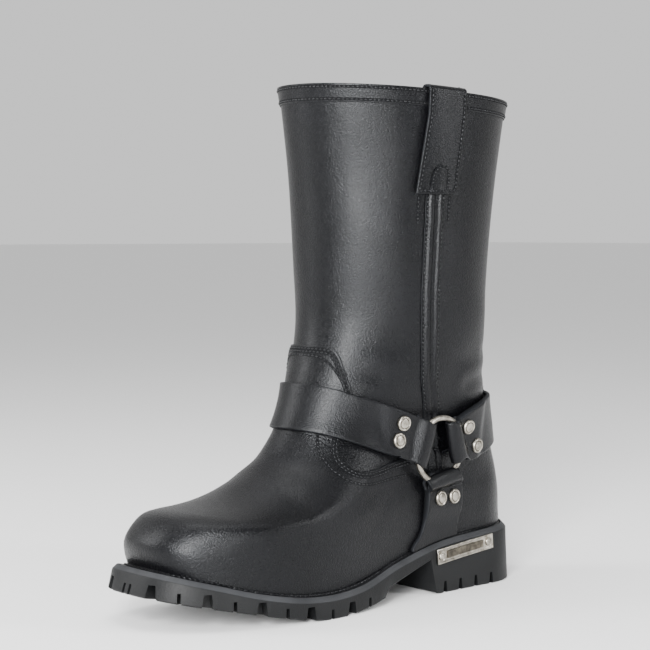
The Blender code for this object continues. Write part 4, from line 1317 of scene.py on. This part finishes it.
# %% Sole blank
BEVEL_IN = 2.6
BEVEL_DOWN = 3.4
loops = [sole_loop(0.9, 0, 0.97, 0.0), sole_loop(0.0, 0, 1.0, 0.9), sole_loop(0.0, BEVEL_DOWN + 0.6, 0.06),
         sole_loop(0.2, BEVEL_DOWN - 0.1), sole_loop(BEVEL_IN - 0.2, 0.35), sole_loop(BEVEL_IN + 0.25, 0.0),
         sole_loop(RIM, 0.1), sole_loop(RIM + 0.15, 0.5), sole_loop(RIM + 0.2, RECESS)]
around = len(loops[0])
sole_faces = []
for level in range(len(loops) - 1):
    for i in range(around):
        j = (i + 1) % around
        a, b = level * around, (level + 1) * around
        sole_faces.append((a + i, a + j, b + j, b + i))
for level, flip in ((0, True), (len(loops) - 1, False)):
    base = level * around
    for i in range(around // 2):
        pair = (base + i, base + i + 1, base + (around - i - 1) % around, base + (around - i) % around)
        corners = list(dict.fromkeys(pair))
        if len(corners) > 2:
            sole_faces.append(tuple(corners[::-1] if flip else corners))
sole = mesh_object("moulded_sole", np.concatenate(loops), sole_faces)
bpy.context.view_layer.objects.active = sole
sole.select_set(True)
bpy.ops.object.mode_set(mode="EDIT")
bpy.ops.mesh.select_all(action="SELECT")
bpy.ops.mesh.normals_make_consistent(inside=False)
bpy.ops.object.mode_set(mode="OBJECT")
print("sole blank:", len(loops), "loops of", around, "points")

# %% [markdown]
# The mould leaves gaps between the lugs, wide and narrow in turn, four notches on each side of the heel,
# and four channels across the forefoot. Each is a cube, drawn out to the gap's taper and turned to face
# the edge. All are joined and taken out with one Boolean, as one would cut a sample by hand.

# %% Cut the gaps between the lugs
LUG_PITCH = 17.6
NOTCH_PITCH = 15.8
CHANNEL_PITCH = 34.7
# Each gap: width below, width above, height, depth.
WIDE_GAP = (8.0, 5.0, 8.5, 11.0)
NARROW_GAP = (2.6, 2.2, 6.5, 8.0)
HEEL_NOTCH = (4.0, 2.2, 8.0, 7.0)


def edge_run(side):
    x = np.concatenate([np.linspace(TREAD_START, SOLE_LENGTH - CAP_LENGTH, 60),
                        SOLE_LENGTH - CAP_LENGTH + CAP_LENGTH * np.sin(np.linspace(0.02, math.pi / 2, 60))])
    y = foot_axis(x) + side * sole_half(x)
    return np.concatenate([[0], np.cumsum(np.hypot(np.diff(x), np.diff(y)))]), x, y


def gap_cutter(at, inward, floor, size):
    """A cube drawn out to one gap, narrower at its top, then turned to face across the edge."""
    wide, narrow, height, depth = size
    bpy.ops.mesh.primitive_cube_add(size=1)
    cutter = bpy.context.object
    below, outside = 3.0, 8.0
    for vert in cutter.data.vertices:
        low = vert.co.z < 0
        half = (wide + (wide - narrow) * below / height) / 2 if low else narrow / 2
        vert.co = Vector((-outside if vert.co.x < 0 else depth, half * (1 if vert.co.y > 0 else -1),
                          -below if low else height)) * MM
    settle(cutter, (at[0], at[1], floor), (inward[0], inward[1], 0), (0, 0, 1))
    return cutter

# %% [markdown]
# The gaps stand at an even pitch along the edge, wide and narrow in turn, and start behind the ball on both
# sides. The heel's notches start near its breast.

# %% Gaps along the edge
cutters = []
for side in SIDES.values():
    run, x, y = edge_run(side)
    for i in range(1, int(run[-1] // LUG_PITCH) + 1):
        at, ahead = [np.array([np.interp(i * LUG_PITCH + d, run, x), np.interp(i * LUG_PITCH + d, run, y)])
                     for d in (0, 2)]
        along = unit(ahead - at)
        inward = side * np.array([along[1], -along[0]])
        cutters.append(gap_cutter(at, inward, float(tread(at[0])), NARROW_GAP if i % 2 else WIDE_GAP))
    for i in range(4):
        at_x = HEEL_LENGTH - 9.0 - i * NOTCH_PITCH
        place = (at_x, float(foot_axis(at_x) + side * sole_half(at_x)))
        cutters.append(gap_cutter(place, (0, -side), 0.0, HEEL_NOTCH))


print("gaps and notches:", len(cutters))

# %% [markdown]
# Four channels join the lugs' gaps across the forefoot. Then everything is taken out of the blank.

# %% Take the gaps out
def cut_with(body, tools):
    """Joins the cutters, takes them out of the body and removes them."""
    bpy.ops.object.select_all(action="DESELECT")
    for tool in tools:
        tool.select_set(True)
    bpy.context.view_layer.objects.active = tools[0]
    bpy.ops.object.join()
    tool = bpy.context.object
    cut = body.modifiers.new("gaps", "BOOLEAN")
    cut.operation = "DIFFERENCE"
    cut.solver = "EXACT"
    cut.use_self = True
    cut.object = tool
    bpy.ops.object.select_all(action="DESELECT")
    bpy.context.view_layer.objects.active = body
    body.select_set(True)
    bpy.ops.object.modifier_apply(modifier="gaps")
    bpy.data.objects.remove(tool)


for i in range(4):
    at_x = TREAD_START + (i + 1) * CHANNEL_PITCH
    span = float(sole_half(at_x)) - WIDE_GAP[3] + 1.0
    bpy.ops.mesh.primitive_cube_add(size=1)
    channel = bpy.context.object
    channel.data.transform(Matrix.Diagonal((WIDE_GAP[1] * MM, 2 * span * MM, 6.6 * MM, 1)))
    settle(channel, (at_x, float(foot_axis(at_x)), float(tread(at_x)) + 0.3), (1, 0, 0), (0, 0, 1))
    cutters.append(channel)
cut_with(sole, cutters)
print("sole:", len(sole.data.polygons), "faces, box", [round(v / MM, 1) for v in sole.dimensions])

# %% [markdown]
# Moulded rubber is matt and faintly mottled over a couple of centimetres, with a fine eggshell relief of
# about 0.9 mm from the mould. To the eye it is the dullest black of the boot. The bevel of the rim faces up
# into the top light, and its upward faces are painted a greyer rubber: a painted highlight that draws a light
# line around the sole.

# %% Rubber
def make_rubber(name, dark, light):
    made, shader = new_material(name)
    place = add(made, "ShaderNodeTexCoord").outputs["Object"]
    fine = add(made, "ShaderNodeTexNoise", {"Vector": place, "Scale": 1 / (0.9 * MM), "Detail": 5.0})
    broad = add(made, "ShaderNodeTexNoise", {"Vector": place, "Scale": 1 / (22 * MM), "Detail": 4.0})
    tone = add(made, "ShaderNodeValToRGB", {"Fac": broad.outputs["Fac"]})
    tone.color_ramp.elements[0].position = 0.3
    tone.color_ramp.elements[1].position = 0.7
    tone.color_ramp.elements[0].color = colour(dark)
    tone.color_ramp.elements[1].color = colour(light)
    gloss = add(made, "ShaderNodeMapRange", {"Value": broad.outputs["Fac"], "To Min": 0.42, "To Max": 0.6})
    raised = add(made, "ShaderNodeBump", {"Height": fine.outputs["Fac"], "Strength": 0.7,
                                          "Distance": 0.3 * MM})
    finish(made, shader, tone.outputs["Color"], gloss, raised)
    shader.inputs["Specular IOR Level"].default_value = 0.2
    return made


rubber = make_rubber("moulded_rubber", "090a0b", "101112")
rim_highlight_rubber = make_rubber("painted_rim_highlight", "1f2022", "2e2f31")
sole.data.materials.append(rubber)
sole.data.materials.append(rim_highlight_rubber)
# Painted highlight: within the bevel's band, the faces that look up take the lighter rubber.
for face in sole.data.polygons:
    x, _, z = np.array(face.center) / MM - SHIFT
    top = float(sole_top(x))
    face.material_index = int(top - BEVEL_DOWN + 0.1 < z < top - 0.05 and 0.3 < face.normal.z < 0.97)
bpy.ops.object.shade_smooth_by_angle(angle=math.radians(28))
print("rim highlight faces:", sum(face.material_index for face in sole.data.polygons))

# %% [markdown]
# The welt is a narrow leather strip in the channel between rim and upper, pulled up against the upper by
# its stitches. It is a closed strip of seven lines between the rim's inner edge and the feather line.

# %% Welt
def strip_between(name, outer, inner, low, high):
    """A flat strip with a slightly crowned top that follows the sole's top edge."""
    middle = (outer + inner) / 2
    levels = [(outer, low), (outer, high - 0.3), (outer * 0.85 + inner * 0.15, high), (middle, high + 0.9),
              (outer * 0.15 + inner * 0.85, high + 2.0), (inner, high + 2.4), (inner, low)]
    points = [np.column_stack([flat, sole_top(flat[:, 0]) + lift]) for flat, lift in levels]
    n = len(outer)
    faces = []
    for level in range(len(points)):
        a, b = level * n, (level + 1) % len(points) * n
        for i in range(n):
            j = (i + 1) % n
            faces.append((a + i, a + j, b + j, b + i))
    return mesh_object(name, np.concatenate(points), faces), points[3]


WELT_INSET = RIM + 0.6
welt_x = WELT_INSET + (1 - np.cos(np.linspace(0, math.pi, 97))) / 2 * (SOLE_LENGTH - 2 * WELT_INSET)
welt_half = sole_half(welt_x, WELT_INSET)
welt_outer = np.concatenate([np.stack([welt_x, foot_axis(welt_x) - welt_half], 1),
                             np.stack([welt_x, foot_axis(welt_x) + welt_half], 1)[::-1][1:-1]])
feather_columns = np.linspace(0, AROUND, len(welt_outer), endpoint=False)
feather = skin(np.full(len(welt_outer), SKIRT), feather_columns)
feather_out = skin_normal(np.full(len(welt_outer), SKIRT + 1.5), feather_columns)
welt_inner = feather[:, :2] + unit(feather_out[:, :2]) * 0.5
nearest = [int(np.argmin(np.linalg.norm(welt_inner - point, axis=1))) for point in welt_outer]
welt, welt_line = strip_between("welt_strip", welt_outer, welt_inner[nearest], -2.5, -0.3)
welt.data.materials.append(strap_leather)
print("welt:", len(welt.data.polygons), "faces")

# %% [markdown]
# Two pieces are right as packed and only need their finish: the footbed, a flat pad covered with the
# lining's fabric, and the heel plate. Each is copied, merged, and its arrises are broken with a narrow
# bevel.

# %% Footbed
def copy_of(node, name, flatten=False):
    """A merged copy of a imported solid. It is left selected and active."""
    made = node.copy()
    made.data = node.data.copy()
    made.name = name
    bpy.context.scene.collection.objects.link(made)
    bpy.ops.object.select_all(action="DESELECT")
    bpy.context.view_layer.objects.active = made
    made.select_set(True)
    bpy.ops.object.mode_set(mode="EDIT")
    bpy.ops.mesh.select_all(action="SELECT")
    bpy.ops.mesh.remove_doubles(threshold=0.01 * MM)
    if flatten:
        bpy.ops.mesh.dissolve_limited(angle_limit=math.radians(1))
    bpy.ops.object.mode_set(mode="OBJECT")
    made.data.materials.clear()
    return made


def soften(made, width, angle):
    """Bevels the arrises of the active object and shades what is flatter than an angle smooth."""
    bevel = made.modifiers.new("soften", "BEVEL")
    bevel.width = width * MM
    bevel.segments = 2
    bevel.limit_method = "ANGLE"
    bpy.ops.object.modifier_apply(modifier="soften")
    bpy.ops.object.shade_smooth_by_angle(angle=math.radians(angle))


insole = copy_of(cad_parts["insole"], "footbed")
soften(insole, 0.6, 40)
insole.data.materials.append(lining)
print("footbed:", len(insole.data.polygons), "faces")

# %% [markdown]
# The pull straps are double bands that run up the outside, over the collar and down inside. They could be
# bent with a curve modifier, but would then cut into the collar's slope. So each is one sheet through 21
# lines that climb the shaft, turn over its edge in a half circle and descend behind it.

# %% Pull straps
PULL_WIDTH = 31.0
PULL_BOTTOM = 272.0
PULL_INSIDE = 30.0
PULL_RISE = 2.2
PULL_THICK = 2.0


def pull_line(at, side):
    """Points of one line along the strap: outside, over the collar, inside."""
    middle_x = float(seam_x(SEAM_TOP)) + at
    top = float(LAST[-1][0, 2] + band_rise * (middle_x - LAST[-1][0, 0]))
    turn = top - 1.0
    heights = np.linspace(PULL_BOTTOM, turn, 26)
    h, c = locate([(float(seam_x(z)) + at, z) for z in heights], side)
    face, out = leather(h, c)
    outside = face + out * PULL_RISE
    centre = face[-1] - out[-1] * WALL / 2
    over = []
    for angle in np.radians(np.arange(15, 180, 15)):
        away = out[-1] * math.cos(angle) + np.array([0, 0, 0.2]) * math.sin(angle)
        over.append(centre + (WALL / 2 + PULL_RISE) * away + np.array([0, 0, 1.0]))
    down = np.linspace(turn, top - PULL_INSIDE, 10)
    h, c = locate([(float(seam_x(z)) + at, z) for z in down], side)
    face, out = leather(h, c)
    return np.concatenate([outside, np.array(over), face - out * (WALL + PULL_RISE)])


pull_straps = {}
for side_name, side in SIDES.items():
    lines = [pull_line(at, side) for at in np.linspace(-PULL_WIDTH / 2, PULL_WIDTH / 2, 21)]
    grid = np.stack(lines, 1)
    normals = sheet_normals(grid)
    if normals[4, 10] @ np.array([0, side, 0]) < 0:
        grid = grid[:, ::-1]
        normals = sheet_normals(grid)
    made = slab("pull_strap_leather_" + side_name, grid.reshape(-1, 3), normals.reshape(-1, 3),
                sheet_faces(*grid.shape[:2]), 0.0, PULL_THICK, 0.5)
    dress(made["object"], grained_leather)
    pull_straps[side_name] = made
    stitching.append(sew("pull_thread_" + side_name, edge_rows(made, 2.2, everywhere), made))

# %% [markdown]
# At the foot of each pull strap a small thumb-shaped patch covers the end of the side seam. It is a panel
# like the others, on top of the strap, and swells over the seam.

# %% Patches at the pull straps' feet
THUMB = [(-6.6, 272.5), (-6.6, 282), (-5.6, 287), (-3.2, 290.4), (0, 291.6), (3.2, 290.4), (5.6, 287),
         (6.6, 282), (6.6, 272.5)]
THUMB_MIDDLE = (105.0, 281.0)
OVER_PULL = PULL_RISE + PULL_THICK
patches = {}
for side_name, side in SIDES.items():
    shape = [(float(seam_x(z)) + d, z) for d, z in along_line(THUMB, 60)]
    h, c = locate([THUMB_MIDDLE], side)
    made = panel("pull_patch_" + side_name, (h[0] - 14.0, h[0] + 14.0), (c[0] - 1.9, c[0] + 1.9),
                 OVER_PULL - 0.2, OVER_PULL + 0.7, h_step=0.8, c_step=0.03, inside=outline(shape),
                 lift=lambda points: 0.7 * np.exp(-(across_seam(points) / 4.5) ** 2), arris=0.4)
    dress(made["object"], grained_leather)
    rows = edge_rows(made, 1.2, everywhere)
    stitching.append(sew("patch_thread_" + side_name, rows, made, pitch=2.3, long=1.9))
    patches[side_name] = made

# %% [markdown]
# The strap's inner end is caught by a short row on each side of the seam and a bar below it, sewn right
# through the shaft.

# %% Stitches beside the seam
CAUGHT = (271, 262, 251)
for side_name, side in SIDES.items():
    rows = []
    for d in (-12.5, 12.0):
        rows.append(side_line([(float(seam_x(z)) + d, z) for z in CAUGHT], side, 30))
    for near, far in ((-13, -8.2), (8.2, 12.5)):
        bar = [(float(seam_x(CAUGHT[-1])) + d, CAUGHT[-1]) for d in (near, (near + far) / 2, far)]
        rows.append(side_line(bar, side, 20))
    stitching.append(sew("pull_end_thread_" + side_name, rows, upper, pitch=2.5, long=2.1))

# %% [markdown]
# Inside the ring a box with a cross in it ties the seam's end to the layers below. It shows between the
# folds.

# %% Stitches inside the ring
CROSS = [[(84.5, 95.5), (90, 101), (95.5, 107)], [(95.5, 95.5), (90, 101), (84.5, 107)],
         [(82, 97.5), (89, 98.5), (97, 99.5)], [(82, 106), (89, 107), (97, 108)]]
for side_name, side in SIDES.items():
    rows = [side_line(row, side, 30) for row in CROSS]
    stitching.append(sew("cross_thread_" + side_name, rows, seams[side_name], pitch=2.3, long=2.0))

# %% [markdown]
# A heavier lockstitch holds the welt to the sole all the way around, with longer stitches than the
# upper's.

# %% Lockstitch of the welt
count = len(welt_line)
welt_bed = {"points": welt_line, "normals": np.zeros_like(welt_line), "high": np.zeros(count),
            "faces": [[i, (i + 1) % count, (i + 2) % count] for i in range(count)]}
welt_row = np.vstack([welt_line, welt_line[:1]])
stitching.append(sew("welt_thread", [welt_row], welt_bed, pitch=3.6, long=3.0, wide=1.2, deep=1.0))

# %% [markdown]
# The plate on the heel is pressed from thin sheet: a raised frame, a sunk field with a plain dark bar,
# and a round head at each end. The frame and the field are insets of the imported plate's outer face.

# %% Heel plate
def inset_facing(made, direction, steps):
    """Insets the faces that look one way, by pairs of width and depth in millimetres."""
    bpy.ops.object.mode_set(mode="EDIT")
    bpy.ops.mesh.select_all(action="DESELECT")
    shape = bmesh.from_edit_mesh(made.data)
    for face in shape.faces:
        face.select_set(face.normal.dot(direction) > 0.9)
    bmesh.update_edit_mesh(made.data)
    for width, depth in steps:
        bpy.ops.mesh.inset(thickness=width * MM, depth=depth * MM)
    bpy.ops.object.mode_set(mode="OBJECT")


plate = copy_of(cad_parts["heel_plate"], "plate_nickel", flatten=True)
plate_points = np.array([tuple(v.co) for v in plate.data.vertices]) / MM - SHIFT
plate_middle = plate_points.mean(axis=0)
plate_long, _, plate_out = np.linalg.svd(plate_points - plate_middle)[2]
plate_long = plate_long * np.sign(plate_long[0])
plate_out = plate_out * np.sign(plate_out[1])
plate_face = float(((plate_points - plate_middle) @ plate_out).max())
inset_facing(plate, Vector(plate_out.tolist()), ((0.9, 0.0), (0.35, -0.5)))
plate.data.materials.append(nickel)
soften(plate, 0.22, 35)
print("plate:", plate_middle.round(1), "face", round(plate_face, 2), "faces", len(plate.data.polygons))

# %% [markdown]
# Two round heads hold the plate. They are spun like the rivets, from a profile given in shares of their
# radius. Between them the sunk field carries a bar that is inset once more, in the duller patina.

# %% Heads and bar of the plate
HEAD_RADIUS = 3.0
HEADS_FROM_MIDDLE = 24.2
BAR_SIZE = (37.0, 5.0, 0.8)
# Each row: share of the radius, height.
HEAD = [(0.0, 1.0), (0.5, 0.9), (0.72, 0.62), (0.78, 0.62), (0.86, 0.95), (0.95, 0.9), (1.0, 0.5),
        (1.0, -0.4), (0.0, -0.4)]
HEAD_GROOVE = (0.7 * HEAD_RADIUS, 0.8 * HEAD_RADIUS)
head_profile = [(share * HEAD_RADIUS, height) for share, height in HEAD]
plate_heads = {}
for name, way in (("front", 1), ("rear", -1)):
    made = spun("head_" + name, head_profile, *HEAD_GROOVE)
    place = plate_middle + plate_long * way * HEADS_FROM_MIDDLE + plate_out * (plate_face - 0.35)
    settle(made, place, plate_long, plate_out)
    plate_heads["plate_pin_" + name] = made
bpy.ops.mesh.primitive_cube_add(size=1)
bar = bpy.context.object
bar.name = "plate_bar"
bar.data.transform(Matrix.Diagonal([size * MM for size in BAR_SIZE] + [1]))
inset_facing(bar, Vector((0, 0, 1)), ((0.55, 0.0), (0.2, -0.3)))
settle(bar, plate_middle + plate_out * (plate_face - 0.45), plate_long, plate_out)
soften(bar, 0.15, 35)
bar.data.materials.append(patina)
print("heads of the plate:", [made.name for made in plate_heads.values()])

# %% [markdown]
# Each new piece rides on the boot's one body and stands for the solids that it shows, which are hidden.

# %% Ride and replaced solids
def stand_for(made, slot, *nodes):
    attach(made, "root")
    if nodes:
        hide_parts(*nodes)


for made, node in ((upper, "upper"), (vamp, "vamp"), (counter, "counter"), (band, "collar_band")):
    stand_for(made["object"], "leather", node)
stand_for(front_strap["object"], "strap_leather", "strap_front")
stand_for(back_strap["object"], "strap_leather", "strap_back")
for side_name in SIDES:
    stand_for(seams[side_name]["object"], "leather", "side_seam_" + side_name)
    stand_for(arch_straps[side_name]["object"], "strap_leather", "strap_arch_" + side_name)
    stand_for(rings[side_name], "nickel", "ring_" + side_name)
    stand_for(pull_straps[side_name]["object"], "leather", "pull_strap_" + side_name)
for made in folds:
    stand_for(made["object"], "strap_leather")
for name, cap in rivets.items():
    stand_for(cap, "nickel", name.replace("cap_", "rivet_"))
for made in stitching:
    stand_for(made, "leather")
stand_for(sole, "rubber", "outsole")
stand_for(welt, "leather", "welt")
stand_for(insole, "lining", "insole")
stand_for(plate, "nickel", "heel_plate")
stand_for(bar, "nickel")
for name, made in plate_heads.items():
    stand_for(made, "nickel", name)
for made in patches.values():
    stand_for(made["object"], "leather")
print("folds, rivets and stitch rows that ride:", len(folds), len(rivets), len(stitching))

# %% [markdown]
# The camera stands to the front and the outer side, 1.2 m away and level with the middle of the shaft,
# with a long lens. Its place is given in the boot's own millimetres, as it came out of the fit.

# %% Camera
CAMERA_PLACE = (939.5, 936.1, 247.0)
CAMERA_YAW = -129.95
CAMERA_PITCH = -2.927
FOCAL_PIXELS = 1823.0
FRAME_PIXELS = 650.0
SENSOR = 36.0
camera = bpy.data.objects.new("camera", bpy.data.cameras.new("camera"))
bpy.context.scene.collection.objects.link(camera)
camera.location = to_frame(CAMERA_PLACE)
camera.rotation_euler = (math.radians(90 + CAMERA_PITCH), 0, math.radians(CAMERA_YAW - 90))
camera.data.sensor_width = SENSOR
camera.data.lens = FOCAL_PIXELS / FRAME_PIXELS * SENSOR
bpy.context.scene.camera = camera
print("lens:", round(camera.data.lens, 1), "mm")

# %% [markdown]
# The studio is one pale floor. It is matt, so that it carries soft shadows and no
# reflection.

# %% Floor
bpy.ops.mesh.primitive_plane_add(size=60)
floor = bpy.context.object
floor.name = "studio_floor"
floor_look, floor_shader = new_material("pale_floor")
floor_shader.inputs["Base Color"].default_value = colour("efefef")
floor_shader.inputs["Roughness"].default_value = 0.9
floor.data.materials.append(floor_look)
print("floor:", floor.dimensions.x, "m wide")

# %% [markdown]
# Black leather is lit by what it mirrors. A large softbox from the camera's side draws the long
# highlights of the shaft and the toe, a narrow one behind the heel lights the counter, and a front one
# the instep. A low strip lights the vamp's side, and a weak one above opens the top. The room is bright
# only beyond the boot, so that the sides stay black. A wide sun stands for the ceiling and lights the
# floor.

# %% Light
# Each row: name, place, what it faces, width and height in metres, power in watts.
LIGHTS = [("key_softbox", (1.2, 1.0, 0.62), (0, 0, 0.2), (0.5, 0.9), 82),
          ("side_softbox", (-0.95, 1.3, 0.7), (-0.05, 0, 0.16), (0.3, 0.9), 16),
          ("front_softbox", (1.1, -0.85, 0.75), (0, 0, 0.16), (0.5, 1.0), 20),
          ("top_softbox", (0.25, 0.1, 1.7), (0.02, 0, 0.1), (0.8, 0.6), 11),
          ("low_strip", (0.75, 1.6, 0.14), (0.06, 0, 0.05), (0.9, 0.16), 13)]
BEYOND = (-0.64, -0.77, 0.1)
NEAR_STRENGTH = 0.07
FAR_STRENGTH = 0.9


def softbox(name, place, aim, size, power):
    lamp = bpy.data.lights.new(name, "AREA")
    lamp.shape = "RECTANGLE"
    lamp.size, lamp.size_y = size
    lamp.energy = power
    made = bpy.data.objects.new(name, lamp)
    bpy.context.scene.collection.objects.link(made)
    made.location = place
    made.rotation_euler = (Vector(aim) - Vector(place)).to_track_quat("-Z", "Y").to_euler()


for row in LIGHTS:
    softbox(*row)
sky = bpy.data.lights.new("ceiling_light", "SUN")
sky.energy = 1.5
sky.angle = math.radians(75)
sky_light = bpy.data.objects.new("ceiling_light", sky)
bpy.context.scene.collection.objects.link(sky_light)
world = bpy.data.worlds.new("studio")
bpy.context.scene.world = world
world.use_nodes = True
world.node_tree.nodes["Background"].inputs["Color"].default_value = colour("ffffff")
way = add(world, "ShaderNodeTexCoord").outputs["Generated"]
beyond = add(world, "ShaderNodeVectorMath", {0: way, 1: BEYOND}, operation="DOT_PRODUCT")
wall = add(world, "ShaderNodeMapRange", {"Value": beyond.outputs["Value"], "From Min": -0.1, "From Max": 0.75,
                                         "To Min": NEAR_STRENGTH, "To Max": FAR_STRENGTH},
           interpolation_type="SMOOTHSTEP")
world.node_tree.links.new(wall.outputs["Result"], world.node_tree.nodes["Background"].inputs["Strength"])
print("lights:", len(LIGHTS) + 1)
